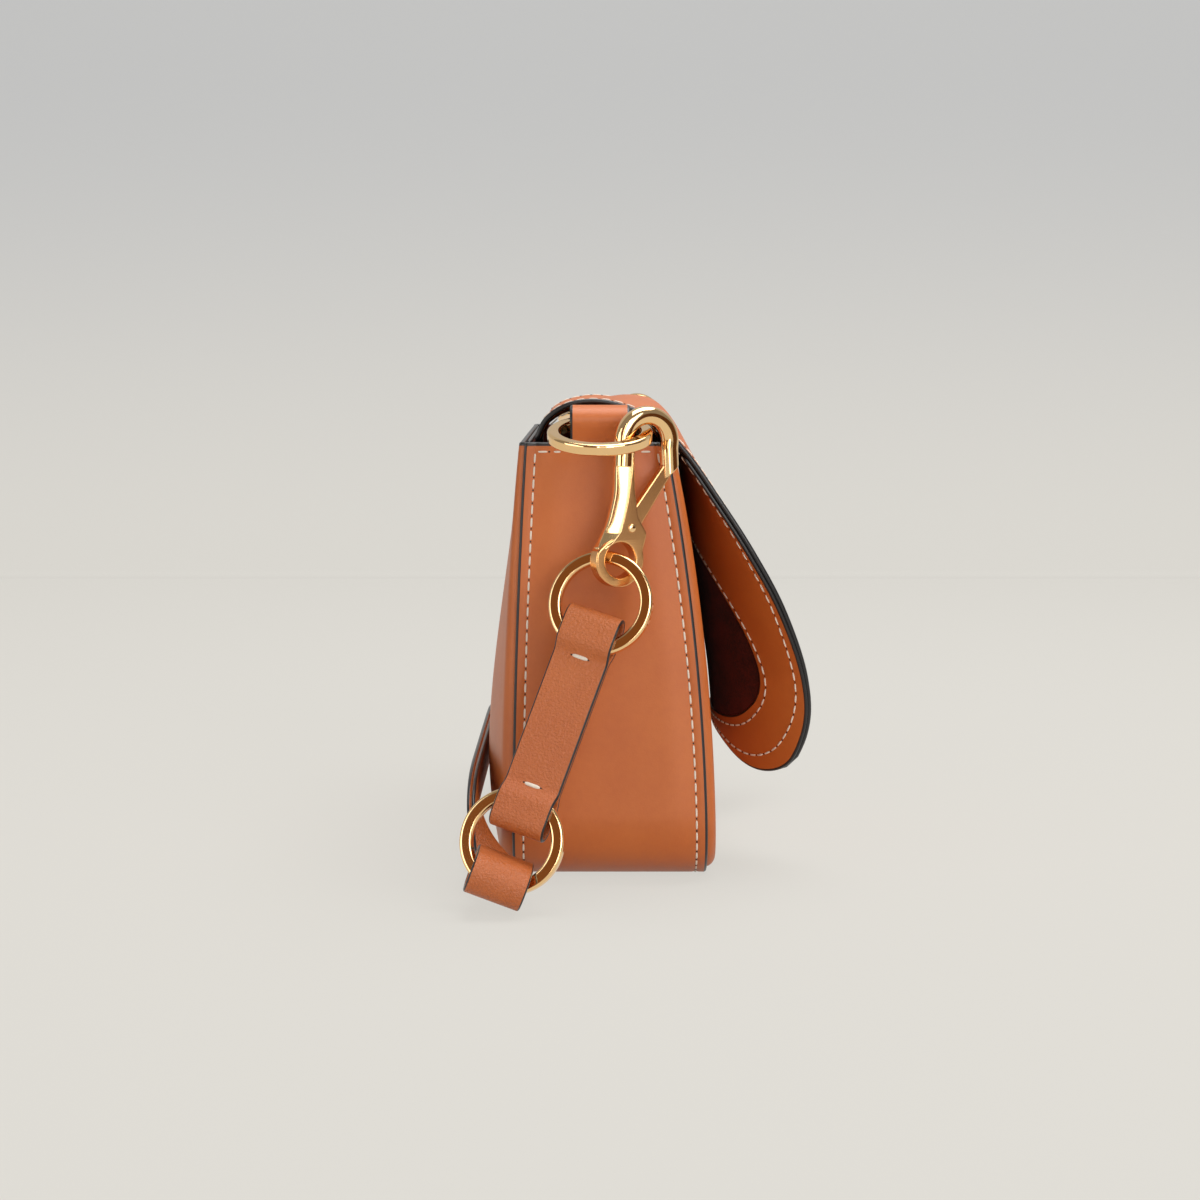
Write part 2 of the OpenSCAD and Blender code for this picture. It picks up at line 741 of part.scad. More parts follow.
module link_stitches(sx) {
    from_end = link_gap + strap_t + link_straight + link_pinch + stitch_w;
    color(white_thread)
        on_side(sx) at_link((upper_at + lower_at) / 2 + link_set * face)
            for (my = [0, 1], mz = [0, 1]) mirror([0, my, 0]) mirror([0, 0, mz])
                translate([0, link_l / 2 - from_end, strap_t]) bar_stitch();
}

// The long band: its end loops hold the lower rings
band_tilt = link_back;
// Nearest and farthest reach of the ring's section across the band's width
ring_chord = strap_w / 2 / cos(link_yaw) + ring_t / 2 * sin(link_yaw);
ring_near = sqrt(pow(ring_od / 2 - ring_w, 2) - pow(ring_chord, 2));
band_seat = 0.5;
band_reach = (ring_od / 2 + ring_near) / 2 - band_seat;
band_slack = 0.4;
band_gap = (ring_od / 2 - ring_near) / 2 + band_seat + band_slack;
band_end = [lower_at[0], lower_at[1] + band_reach * sin(band_tilt),
            lower_at[2] - band_reach * cos(band_tilt)];
// Distance from the lower ring's plane out to the loop's fold
band_over = 16.5;
band_straight = 12.5;
band_pinch = 10;
band_flat = 5;
band_loop_l = band_gap + strap_t + band_straight + band_pinch + band_flat;
band_x = -band_end[0] + band_over - band_loop_l + overrun;

band_steps = 32;
// Lean of the band at its middle, just past upright
band_lean = 95;
// Gap between the band's middle and the back panel
band_clear = 1.7;
band_mid_y = face_y(1, 0, bag_h / 4) + band_clear + strap_t;
// How far the band has left its ends, at a share along it
end_power = 8;
end_ease = 1.6;
function band_rise(s) = pow(max(0, 1 - pow(abs(s), end_power)), end_ease);
// Middle line of the band, its turn about the X axis and its section at a share along it
function band_at(s) =
    [s * band_x, band_end[1] + (band_mid_y - band_end[1]) * band_rise(s),
     band_end[2] + band_arch * band_rise(s)];
function band_turn(s) = band_tilt + (band_lean - band_tilt) * band_rise(s);
function band_ring(s) =
    let (p = band_at(s), q = band_turn(s),
         w = [0, cos(q), sin(q)] * (strap_w / 2 - touch),
         t = [0, -sin(q), cos(q)] * (strap_t - touch))
    [p - w - t, p + w - t, p + w + t, p - w + t];

module band_middle() {
    rings = [for (k = [0 : band_steps]) band_ring(2 * k / band_steps - 1)];
    pts = [for (r = rings) for (p = r) p];
    last = 4 * band_steps;
    sides = [for (k = [0 : band_steps - 1]) for (j = [0 : 3])
             let (a = 4 * k + j, b = 4 * k + (j + 1) % 4)
             each [[b + 4, b, a], [a + 4, b + 4, a]]];
    polyhedron(pts, concat([[2, 3, 0], [1, 2, 0]], sides,
                           [[last + 2, last + 1, last], [last + 3, last + 2, last]]),
               convexity = 6);
}

module middle_band() {
    color(tan_leather) {
        band_middle();
        for (m = [0, 1]) mirror([m, 0, 0])
            translate([band_end[0] - band_over, band_end[1], band_end[2]])
                rotate([band_tilt, 0, 0]) rotate([90, 0, 0])
                    linear_extrude(strap_w, center = true) {
                        loop_outline(band_gap, band_straight, band_pinch, strap_t);
                        translate([band_loop_l - band_flat - overrun, -strap_t])
                            square([band_flat + overrun, 2 * strap_t]);
                    }
    }
}

module band_stitches() {
    color(white_thread)
        for (mx = [0, 1], mt = [0, 1]) mirror([mx, 0, 0])
            translate([band_end[0] - band_over + band_loop_l - band_flat / 2, band_end[1],
                       band_end[2]])
                rotate([band_tilt + 180 * mt, 0, 0]) translate([0, 0, strap_t])
                    rotate([0, 0, 90]) bar_stitch();
}

panel(-1);  // front_panel
panel(1);  // back_panel
gusset();
base_board();
panel_lining(-1);  // front_lining
panel_lining(1);  // back_lining
gusset_lining();
inner_pocket();
flap_tail();
body_magnet();
flap_leather();
flap_facing();
flap_suede();
tab(-1);  // left_tab
tab(1);  // right_tab
side_ring(-1);  // left_side_ring
side_ring(1);  // right_side_ring
flap_magnet();
hook(-1);  // left_hook
hook(1);  // right_hook
gate(-1);  // left_gate
gate(1);  // right_gate
gate_pin(-1);  // left_gate_pin
gate_pin(1);  // right_gate_pin
gate_spring(-1);  // left_gate_spring
gate_spring(1);  // right_gate_spring
upper_ring(-1);  // left_upper_ring
upper_ring(1);  // right_upper_ring
link(-1);  // left_link
link(1);  // right_link
link_stitches(-1);  // left_link_stitches
link_stitches(1);  // right_link_stitches
lower_ring(-1);  // left_lower_ring
lower_ring(1);  // right_lower_ring
middle_band();
band_stitches();
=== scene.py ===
# %% [markdown]
# # Dressing a small leather shoulder bag
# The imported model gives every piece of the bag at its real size. This lesson covers those plain
# solids with leather, suede, thread and polished metal. Each soft solid gets a finer piece in the
# same place, and each hard one is kept or gets a rounder copy of itself.

# %% Load the frame
import json

import bmesh
import bpy
import numpy as np
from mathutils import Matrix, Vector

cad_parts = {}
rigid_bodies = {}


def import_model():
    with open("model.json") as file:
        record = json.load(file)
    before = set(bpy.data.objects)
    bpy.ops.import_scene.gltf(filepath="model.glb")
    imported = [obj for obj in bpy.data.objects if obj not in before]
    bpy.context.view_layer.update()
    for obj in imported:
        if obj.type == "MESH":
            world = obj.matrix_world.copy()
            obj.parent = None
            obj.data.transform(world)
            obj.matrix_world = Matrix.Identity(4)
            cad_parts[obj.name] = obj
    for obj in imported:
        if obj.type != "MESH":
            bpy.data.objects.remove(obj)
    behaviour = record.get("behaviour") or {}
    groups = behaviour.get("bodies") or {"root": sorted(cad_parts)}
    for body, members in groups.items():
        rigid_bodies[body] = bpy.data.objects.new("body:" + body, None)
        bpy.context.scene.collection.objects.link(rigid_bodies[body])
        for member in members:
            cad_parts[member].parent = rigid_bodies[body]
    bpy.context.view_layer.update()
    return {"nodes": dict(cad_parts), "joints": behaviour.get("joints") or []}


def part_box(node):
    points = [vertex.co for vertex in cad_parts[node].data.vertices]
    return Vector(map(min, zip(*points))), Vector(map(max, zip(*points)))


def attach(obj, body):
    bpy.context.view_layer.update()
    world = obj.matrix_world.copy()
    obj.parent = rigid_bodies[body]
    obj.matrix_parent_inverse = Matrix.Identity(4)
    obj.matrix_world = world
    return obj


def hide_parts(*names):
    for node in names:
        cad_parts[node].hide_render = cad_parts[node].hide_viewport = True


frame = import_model()
mm = 0.001

# %% [markdown]
# ## Grids, sheets and bands
# Leather goods are cut from sheets, so nearly every piece here is a grid of points. A sheet needs
# an outer face, an inner face and a rim. A strap is a section carried along a line. Both could be
# modelled by hand with a Solidify modifier, but worked out as arrays they keep an exact thickness,
# and the rim can carry a mark that later paints the cut edge.

# %% Small helpers for arrays of points
def unit(v):
    """Every vector divided by its own length."""
    return v / np.maximum(np.linalg.norm(v, axis=-1, keepdims=True), 1e-12)


def ease(x, low, high):
    """Smooth step: 0 below low, 1 above high, and 3t^2 - 2t^3 between them."""
    t = np.clip((x - low) / (high - low), 0, 1)
    return t * t * (3 - 2 * t)


def quads_of(index, wrap_rows=False, wrap_cols=False):
    """Four-sided faces between neighbours in a table of point numbers."""
    if wrap_rows:
        index = np.vstack([index, index[:1]])
    if wrap_cols:
        index = np.hstack([index, index[:, :1]])
    corners = [index[:-1, :-1], index[:-1, 1:], index[1:, 1:], index[1:, :-1]]
    return np.stack(corners, -1).reshape(-1, 4)


def numbers(rows, cols, start=0):
    """Table of point numbers for a grid."""
    return start + np.arange(rows * cols).reshape(rows, cols)


def points_of(*coordinates):
    """One array of points from arrays of coordinates, each spread to the shape of them all."""
    return np.stack(np.broadcast_arrays(*coordinates), -1)


def perimeter(rows, cols):
    """Row and column numbers once round the four sides of a grid."""
    r = np.concatenate([np.zeros(cols), np.arange(1, rows), np.full(cols - 1, rows - 1),
                        np.arange(rows - 2, 0, -1)])
    c = np.concatenate([np.arange(cols), np.full(rows - 1, cols - 1),
                        np.arange(cols - 2, -1, -1), np.zeros(rows - 2)])
    return r.astype(int), c.astype(int)


def open_ended(rows, cols):
    """As perimeter, but without the last row, for a sheet that is folded shut there."""
    r = np.concatenate([np.arange(rows - 1, 0, -1), np.zeros(cols), np.arange(1, rows)])
    c = np.concatenate([np.zeros(rows - 1), np.arange(cols), np.full(rows - 1, cols - 1)])
    return r.astype(int), c.astype(int)

# %% Sheets
def slab(outer, inner, loop=None, closed=True, bulge=0.8, steps=6):
    """Closed sheet between two grids. Its rim is a half round: the middle of the thickness, plus
    half the thickness times the cosine, plus the outward direction times the sine."""
    rows, cols = outer.shape[:2]
    r, c = perimeter(rows, cols) if loop is None else loop
    a, b = outer[r, c], inner[r, c]
    middle, half = (a + b) / 2, (a - b) / 2
    step = np.arange(len(r))
    ahead = np.roll(middle, -1, 0) if closed else middle[np.minimum(step + 1, len(r) - 1)]
    behind = np.roll(middle, 1, 0) if closed else middle[np.maximum(step - 1, 0)]
    out = unit(np.cross(ahead - behind, half))
    inward = outer[np.clip(r, 1, rows - 2), np.clip(c, 1, cols - 2)] - a
    out = out * -np.sign(np.sum(out * inward))
    turn = (np.pi * np.arange(1, steps) / steps)[:, None, None]
    reach = np.linalg.norm(half, axis=1)[None, :, None] * bulge
    rim = middle + half * np.cos(turn) + out * reach * np.sin(turn)
    size = rows * cols
    ring = np.vstack([r * cols + c, numbers(steps - 1, len(r), 2 * size), size + r * cols + c])
    faces = np.vstack([quads_of(numbers(rows, cols)), quads_of(numbers(rows, cols, size)),
                       quads_of(ring, wrap_cols=closed)])
    points = np.concatenate([outer.reshape(-1, 3), inner.reshape(-1, 3), rim.reshape(-1, 3)])
    paint = np.zeros(len(points))
    paint[ring.ravel()] = 1
    return points, faces, paint

# %% Sections along a path
def chords(path, closed=False):
    """From the point before each point of a path to the one after it."""
    before = np.roll(path, 1, 0) if closed else np.vstack([2 * path[0] - path[1], path[:-1]])
    after = np.roll(path, -1, 0) if closed else np.vstack([path[1:], 2 * path[-1] - path[-2]])
    return after - before


def sweep(path, side, section, paint=None, closed=True):
    """A section carried along a path. side is the direction of the section's first axis at each
    point, and its second axis is the path's direction crossed with it."""
    rise = unit(np.cross(chords(path, closed), side))
    a = section[None, :, :1] * side[:, None, :]
    b = section[None, :, 1:] * rise[:, None, :]
    points = (path[:, None, :] + a + b).reshape(-1, 3)
    table = numbers(len(path), len(section))
    faces = quads_of(table, wrap_rows=closed, wrap_cols=True)
    mark = np.zeros(len(section)) if paint is None else paint
    return points, faces, np.tile(mark, len(path))

# %% Lines
def walked(line):
    """How far along a line each of its points lies."""
    return np.concatenate([[0], np.cumsum(np.linalg.norm(np.diff(line, axis=0), axis=1))])


def sampled(at, walk, values):
    """Rows of a table, read between its rows at some distances walked."""
    return np.stack([np.interp(at, walk, column) for column in values.T], -1)


def resample(path, count, closed=False):
    """The same line with its points at even steps of its own length."""
    line = np.vstack([path, path[:1]]) if closed else path
    walk = walked(line)
    at = np.linspace(0, walk[-1], count + 1)[:-1] if closed else np.linspace(0, walk[-1], count)
    return sampled(at, walk, line)


def relax(path, passes, closed=True):
    """Each point moved to a quarter, half and quarter of itself and its neighbours, repeatedly."""
    for _ in range(passes):
        if closed:
            path = 0.25 * np.roll(path, 1, 0) + 0.5 * path + 0.25 * np.roll(path, -1, 0)
        else:
            path = np.vstack([path[:1], 0.25 * path[:-2] + 0.5 * path[1:-1] + 0.25 * path[2:],
                              path[-1:]])
    return path

# %% Whole shells
def joined(*parts):
    """Several shells as one, each with its own points, faces and paint."""
    starts = np.cumsum([0] + [len(p[0]) for p in parts[:-1]])
    return (np.concatenate([p[0] for p in parts]),
            np.concatenate([p[1] + s for p, s in zip(parts, starts)]),
            np.concatenate([p[2] for p in parts]))


def plain(points, faces):
    """A shell without painted edges."""
    points = points.reshape(-1, 3)
    return points, faces, np.zeros(len(points))


def capped(rings):
    """Rings of points as a tube, closed with the middle of its first and last ring."""
    ends = [np.broadcast_to(rings[k].mean(0), (1, *rings.shape[1:])) for k in (0, -1)]
    rings = np.concatenate([ends[0], rings, ends[1]])
    return plain(rings, quads_of(numbers(*rings.shape[:2]), wrap_cols=True))


# %% [markdown]
# ## From arrays to pieces
# A piece is a mesh that rides on one moving body of the bag, has one finish and may stand for a
# solid. Points that lie on each other are merged, and the faces are turned outwards, before
# anything else is done to the mesh.

# %% Make a piece
merge_gap = 0.002 * mm
both_ends = (("left", False), ("right", True))


def new_mesh(name, points, faces, finish):
    """A mesh in one finish."""
    mesh = bpy.data.meshes.new(name)
    mesh.from_pydata(points, [], faces)
    mesh.materials.append(finish)
    return mesh


def new_object(name, data):
    """An object in the scene that holds a mesh, a lamp or a camera."""
    made = bpy.data.objects.new(name, data)
    bpy.context.scene.collection.objects.link(made)
    return made


def piece(name, shell, finish, body, replaces=(), mirrored=False):
    """Mesh from points, faces and paint; mirrored makes the right one of a pair."""
    points, faces, paint = shell
    if mirrored:
        points = points * [-1, 1, 1]
    faces = faces if isinstance(faces, list) else faces.tolist()
    mesh = new_mesh(name, points.tolist(), faces, finish)
    mark = mesh.attributes.new("paint", "FLOAT", "POINT")
    mark.data.foreach_set("value", paint.astype(np.float32))
    shape = bmesh.new()
    shape.from_mesh(mesh)
    bmesh.ops.remove_doubles(shape, verts=shape.verts, dist=merge_gap)
    bmesh.ops.recalc_face_normals(shape, faces=shape.faces)
    shape.to_mesh(mesh)
    shape.free()
    mesh.polygons.foreach_set("use_smooth", np.ones(len(mesh.polygons), bool))
    made = new_object(name, mesh)
    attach(made, body)
    if replaces:
        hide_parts(*replaces)
    print(f"{name}: {len(mesh.polygons)} faces on {body}")
    return made


# %% [markdown]
# ## Writing a finish as arithmetic
# A material is a small graph of nodes. The graph is easier to read as a formula, so a Field wraps
# one output socket and turns +, - and * into Math nodes. Everything else goes through add().

# %% The Field and Finish classes
class Field:
    """A number or colour that varies over a surface."""

    def __init__(self, finish, socket):
        self.finish = finish
        self.socket = socket

    def _math(self, operation, a, b):
        return self.finish.add("ShaderNodeMath", {"operation": operation}, {0: a, 1: b})

    def __add__(self, other):
        return self._math("ADD", self, other)

    def __radd__(self, other):
        return self._math("ADD", other, self)

    def __sub__(self, other):
        return self._math("SUBTRACT", self, other)

    def __rsub__(self, other):
        return self._math("SUBTRACT", other, self)

    def __mul__(self, other):
        return self._math("MULTIPLY", self, other)

    def __rmul__(self, other):
        return self._math("MULTIPLY", other, self)


class Finish:
    """One material, built from nodes around a Principled shader."""

    def __init__(self, name):
        self.material = bpy.data.materials.new(name)
        self.material.use_nodes = True
        self.nodes = self.material.node_tree.nodes
        self.links = self.material.node_tree.links
        self.nodes.clear()

    def add(self, kind, settings=None, inputs=None, output=0):
        """A node with its settings and its inputs, which are numbers or Fields."""
        node = self.nodes.new(kind)
        for name, value in (settings or {}).items():
            setattr(node, name, value)
        for name, value in (inputs or {}).items():
            if isinstance(value, Field):
                self.links.new(value.socket, node.inputs[name])
            else:
                node.inputs[name].default_value = value
        return Field(self, node.outputs[output])

    def place(self):
        """Where the point is on the bag, in metres."""
        return self.add("ShaderNodeTexCoord", output=3)

    def mark(self):
        """The piece's own paint attribute: 1 on its sealed edges, and on the painted shade of stitch
        holes.
        """
        return self.add("ShaderNodeAttribute", {"attribute_name": "paint"}, output=2)

    def noise(self, scale, detail=2.0, rough=0.5):
        """Clouds: scale is how many there are in a metre."""
        return self.add("ShaderNodeTexNoise", None,
                        {"Vector": self.place(), "Scale": scale, "Detail": detail,
                         "Roughness": rough})

    def cells(self, scale):
        """Distance to the nearest of many scattered points."""
        return self.add("ShaderNodeTexVoronoi", None, {"Vector": self.place(), "Scale": scale})

    def between(self, value, low, high):
        """0 where the value is under low, 1 where it is over high."""
        return self.add("ShaderNodeMapRange", {"interpolation_type": "SMOOTHSTEP"},
                        {"Value": value, "From Min": low, "From Max": high})

    def mix(self, factor, a, b):
        """Colour a where the factor is 0 and colour b where it is 1."""
        return self.add("ShaderNodeMix", {"data_type": "RGBA"}, {0: factor, 6: a, 7: b}, output=2)

    def bump(self, height, depth, strength):
        """Normals tilted as if the height were real."""
        return self.add("ShaderNodeBump", None,
                        {"Height": height, "Distance": depth, "Strength": strength})

    def shade(self, **sockets):
        """Principled shader whose sockets are named with underscores for spaces."""
        inputs = {name.replace("_", " "): value for name, value in sockets.items()}
        return self.close(self.add("ShaderNodeBsdfPrincipled", None, inputs))

    def close(self, shader):
        """The finished material."""
        output = self.nodes.new("ShaderNodeOutputMaterial")
        self.links.new(shader.socket, output.inputs["Surface"])
        return self.material


def tone(red, green, blue):
    """A colour named by its everyday 0 to 255 values, as the linear numbers that shaders use."""
    share = np.array([red, green, blue]) / 255
    linear = np.where(share <= 0.04045, share / 12.92, ((share + 0.055) / 1.055) ** 2.4)
    return (*linear.tolist(), 1.0)


# %% [markdown]
# ## Leather
# Smooth calf leather has a fine pebble that catches the light, a slow drift of colour from the
# dyeing, and cut edges that are sealed with dark paint. The pebble is two sizes of cells under a
# Bump node, the drift is a wide noise, and the paint follows the mark that slab() leaves on rims.

# %% Leather finishes
tan = tone(191, 101, 40)
tan_deep = tone(182, 92, 34)
edge_black = tone(30, 28, 29)


def leather(name, light, deep, pebble, depth, gloss):
    """pebble is the number of cells in a metre and depth is their height in metres."""
    f = Finish(name)
    drift = f.noise(28, 3.0)
    mottle = f.noise(420, 3.0)
    grain = f.cells(pebble)
    fine_grain = f.cells(2.3 * pebble)
    edge = f.between(f.mark(), 0.35, 0.6)
    dyed = f.mix(f.between(0.75 * drift + 0.25 * mottle, 0.3, 0.7), deep, light)
    height = (0.65 * grain + 0.35 * fine_grain) * (1 - edge) + 0.2 * edge * mottle
    return f.shade(Base_Color=f.mix(edge, dyed, edge_black),
                   Roughness=gloss + 0.12 * mottle - 0.12 * edge,
                   Specular_IOR_Level=0.42, Coat_Roughness=0.35, Coat_Weight=0.06,
                   Normal=f.bump(height, depth, 0.6))


calf = leather("tan_calf_leather", tan, tan_deep, 1500, 0.05 * mm, 0.40)
strap_calf = leather("tan_strap_leather", tone(184, 98, 43), tone(174, 89, 37), 1000, 0.9 * mm,
                     0.38)
print("leathers:", calf.name, strap_calf.name)


# %% [markdown]
# ## Suede, thread, metal and board
# Suede is a nap of short fibres, so it has a soft mottle, almost no gloss and a little sheen. Gold
# plate is the same colour all over: what shows in it is the room. The thread is waxed linen.

# %% Other finishes
def suede(name, light, deep):
    """light and deep are the two colours that the brushed nap drifts between."""
    f = Finish(name)
    nap = f.noise(900, 4.0, 0.7)
    brushed = f.noise(60, 2.0)
    shade = f.between(0.5 * nap + 0.5 * brushed, 0.35, 0.65)
    return f.shade(Base_Color=f.mix(shade, deep, light), Roughness=0.92 + 0.06 * nap,
                   Specular_IOR_Level=0.1, Sheen_Weight=0.03, Sheen_Roughness=0.5,
                   Normal=f.bump(nap, 0.12 * mm, 0.7))


def metal(name, colour, gloss, wave):
    """wave is the depth of the slow unevenness that polishing leaves."""
    f = Finish(name)
    wear = f.noise(300, 3.0)
    brushed = f.noise(2600, 2.0)
    return f.shade(Base_Color=f.mix(wear, colour, tuple(0.94 * c for c in colour[:3]) + (1.0,)),
                   Metallic=1.0, Roughness=gloss + 0.05 * brushed,
                   Normal=f.bump(f.noise(90, 1.0), wave, 0.5))


def thread(name, colour, hole_shade):
    """Twisted thread in one colour, with the painted shade of its stitch holes in a dark second colour
    where the paint mark is 1.
    """
    f = Finish(name)
    twist = f.noise(3000, 2.0)
    return f.shade(Base_Color=f.mix(f.mark(), f.mix(twist, colour, tone(208, 194, 176)), hole_shade),
                   Roughness=0.7 + 0.1 * twist, Normal=f.bump(twist, 0.1 * mm, 0.6))


dark_suede = suede("brown_suede", tone(90, 24, 9), tone(50, 13, 5))
polished_gold = metal("polished_gold", tone(254, 212, 154), 0.05, 0.02 * mm)
satin_gold = metal("satin_gold", tone(232, 176, 118), 0.2, 0.02 * mm)
spring_steel = metal("spring_steel", tone(176, 172, 166), 0.3, 0.02 * mm)
# the second colour is painted shade: the dark inside of each stitch hole
white_thread = thread("white_thread", tone(236, 226, 212), tone(40, 16, 8))
fibre_board = suede("fibre_board", tone(96, 88, 78), tone(72, 66, 58))
print("finishes:", [m.name for m in bpy.data.materials])

# %% [markdown]
# ## The shape of the body
# The front and back are single sheets of leather that turn round a small bend and run in under
# the side strip, where they are sewn. Seen from the end the bag leans in towards its mouth, and
# each face swells softly from the contents and the padding. The same three formulas give the
# leather and the lining, so that nothing has to be fitted by eye.

# %% Sizes and faces of the body
strip_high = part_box("gusset")[1]
half_l = strip_high.x
bag_h = strip_high.z
bag_d = 2 * strip_high.y
front_taper = 16.5 * mm
back_taper = 5.4 * mm
front_swell = 1.6 * mm
back_swell = 10.2 * mm
mouth_pinch = 1.2 * mm
corner_r = 28 * mm
edge_r = 4 * mm
leather_t = 2 * mm
lining_from = 4.4 * mm
lining_to = 5.2 * mm
flange_w = 9 * mm
spine_low = 44 * mm
side_share = 8 / 18
corner_share = 14 / 18
tab_y = 4 * mm
tab_w = 21.5 * mm


def seam_y(side, z):
    """Half the depth, less the taper times the height's share squared. side is 1 at the back."""
    taper = back_taper if side > 0 else front_taper
    return side * (bag_d / 2 - taper * (z / bag_h) ** 2)


def face_y(side, x, z):
    """The seam, plus the bend's radius, plus a swell that is fullest at a quarter of the height."""
    full = back_swell if side > 0 else front_swell
    arch = np.maximum(np.sin(np.pi * np.sqrt(np.clip(z / bag_h, 0, 1))), 0) ** 1.3
    swell = full * (1 - (x / half_l) ** 2) * arch
    return seam_y(side, z) + side * (edge_r + swell - mouth_pinch * (z / bag_h) ** 8)


def outline(q, inset):
    """Left half of the U seen from the front: down the side, round the corner, along the bottom."""
    turn = np.pi / 2 * np.clip((q - side_share) / (corner_share - side_share), 0, 1)
    along = np.clip((q - corner_share) / (1 - corner_share), 0, 1)
    x = (corner_r - half_l) * (1 - along) - (corner_r - inset) * np.cos(turn)
    drop = np.clip(q / side_share, 0, 1)
    z = bag_h - (bag_h - corner_r) * drop - (corner_r - inset) * np.sin(turn)
    return x, z


print("body:", round(2 * half_l / mm), "by", round(bag_d / mm), "by", round(bag_h / mm), "mm")

# %% [markdown]
# ## Front and back
# A grid that follows the U of the outline, row by row from the mouth to the bottom, keeps its
# lines along the bend where the highlight runs. Its last row folds onto itself under the middle.

# %% Panels and their linings
down_q = np.concatenate([[0, 0.0034], np.linspace(0.008, 1, 110)])[:, None]


def mirrored_half(points):
    """A grid and its mirror image in X, sharing the middle column."""
    return np.concatenate([points, (points * [-1, 1, 1])[:, -2::-1]], axis=1)


def panel_face(side, back, share):
    """The face from its bend, at share 0, to the middle line, at share 1."""
    x, z = outline(down_q, leather_t + edge_r)
    x = x * (1 - share)
    z = z * (1 - share) + (bag_h - (bag_h - spine_low) * down_q) * share
    return points_of(x, face_y(side, x, z) - side * back, z)


def panel_bend(side, back, angle):
    """The bend, from the flange at angle 0 towards the face at a right angle."""
    r = edge_r - back
    x, z = outline(down_q, leather_t + edge_r - r * np.cos(angle))
    flat = seam_y(side, z) * np.cos(angle)
    y = flat + (face_y(side, x, z) - side * edge_r) * (1 - np.cos(angle)) + side * r * np.sin(angle)
    return points_of(x, y, z)


def panel_flange(side, back, share):
    """The edge that runs in under the side strip, up to the bend at share 1."""
    x, z = outline(down_q, leather_t + back)
    return points_of(x, seam_y(side, z) - side * flange_w * (1 - share), z)


def panel_grid(side, back):
    """A whole panel, at a depth behind its outer face."""
    bend = np.linspace(0, np.pi / 2, 8, endpoint=False)
    return mirrored_half(np.concatenate([
        panel_flange(side, back, np.array([0, 0.12, 0.5])), panel_bend(side, back, bend),
        panel_face(side, back, np.linspace(0, 1, 26))], axis=1))


def folded(outer, inner):
    """Sheet between two grids that are folded shut along their last row."""
    return slab(outer, inner, open_ended(*outer.shape[:2]), closed=False)


across_face = np.linspace(0, 1, 20)
for name, side in (("front", -1), ("back", 1)):
    shell = folded(panel_grid(side, 0), panel_grid(side, leather_t))
    piece(f"{name}_leather", shell, calf, "body", [f"{name}_panel"])
    near, far = [mirrored_half(panel_face(side, back, across_face))
                 for back in (lining_from, lining_to)]
    piece(f"{name}_suede_lining", plain(*folded(near, far)[:2]), dark_suede, "body",
          [f"{name}_lining"])

# %% [markdown]
# ## The side strip
# One long strip runs down one end, along the bottom and up the other end. It is sewn 3.5 mm in from
# its painted edges. The thread pulls a shallow groove, and between the two grooves the leather
# rises a little over its stiffener, which is what gives the soft light line beside the stitches.

# %% Side strip and its lining
stitch_in = 3.5 * mm
top_stitch = 2.8 * mm
edge_lines = np.array([0, 0.5, 1.2, 2.1, 2.8, 3.15, 3.5, 3.85, 4.2, 5, 6.5, 9, 12, 15.5]) * mm
pad_rise = 1.1 * mm
groove_depth = 0.35 * mm
groove_w = 0.8 * mm
pad_from, pad_full, pad_top = 3.9 * mm, 12 * mm, 3.4 * mm
tab_clear, tab_run_on = 4 * mm, 20 * mm
lining_margin = 1.2 * mm
whole_q = np.concatenate([down_q, down_q[-2::-1]])
whole_side = np.concatenate([np.full(len(down_q), -1.0), np.full(len(down_q) - 1, 1.0)])[:, None]


def strip_y(z, margin=0.0):
    """Depth of each column: the edge lines from both seams, and even steps between them."""
    front = seam_y(-1, z) + margin + edge_lines
    back = seam_y(1, z) - margin - edge_lines[::-1]
    share = np.linspace(0, 1, 11)[1:-1]
    middle = front[:, -1:] * (1 - share) + back[:, :1] * share
    return np.concatenate([front, middle, back], axis=1)


def strip_lift(y, z):
    """Rise of the strip's face: a plateau inside the stitches, less a groove along them."""
    in_side = np.minimum(y - seam_y(-1, z), seam_y(1, z) - y)
    off_tab = ease(np.abs(y - tab_y), tab_w / 2, tab_w / 2 + tab_clear)
    in_top = bag_h - z + tab_run_on * (1 - off_tab)
    plateau = (ease(in_side, pad_from, pad_full) * ease(in_top, pad_top, pad_full)
               * ease(z, 0, corner_r))
    groove = np.exp(-((in_side - stitch_in) / groove_w) ** 2)
    return pad_rise * plateau - groove_depth * groove


def strip_grid(inset, margin=0.0, lift=False):
    """The whole strip at an inset under its flat face, with or without the rise and grooves."""
    x, z = outline(whole_q, inset)
    y = strip_y(z, margin)
    if lift:
        x, z = outline(whole_q, inset - strip_lift(y, np.broadcast_to(z, y.shape)))
    return points_of(x * -whole_side, y, z)


shell = slab(strip_grid(0, lift=True), strip_grid(leather_t))
beside_tab = ease(np.abs(shell[0][:, 1] - tab_y), tab_w / 2 - 1 * mm, tab_w / 2)
shell[2][:] *= np.where(shell[0][:, 2] > bag_h - 2 * mm, beside_tab, 1)
piece("side_strip", shell, calf, "body", ["gusset"])
shell = slab(strip_grid(lining_from, lining_margin), strip_grid(lining_to, lining_margin))
piece("side_strip_lining", plain(*shell[:2]), dark_suede, "body",
      ["gusset_lining"])

# %% [markdown]
# ## Inside the bag
# A slip pocket hangs on the back lining, open at the top with a little slack in it. The strip that
# anchors the flap runs down between the back leather and its lining.

# %% Slip pocket and flap anchor
pocket_depth = 5.7 * mm
pocket_slack = 1.5 * mm
pocket_t = 0.8 * mm
anchor_gap, anchor_t = 0.3 * mm, 1.6 * mm


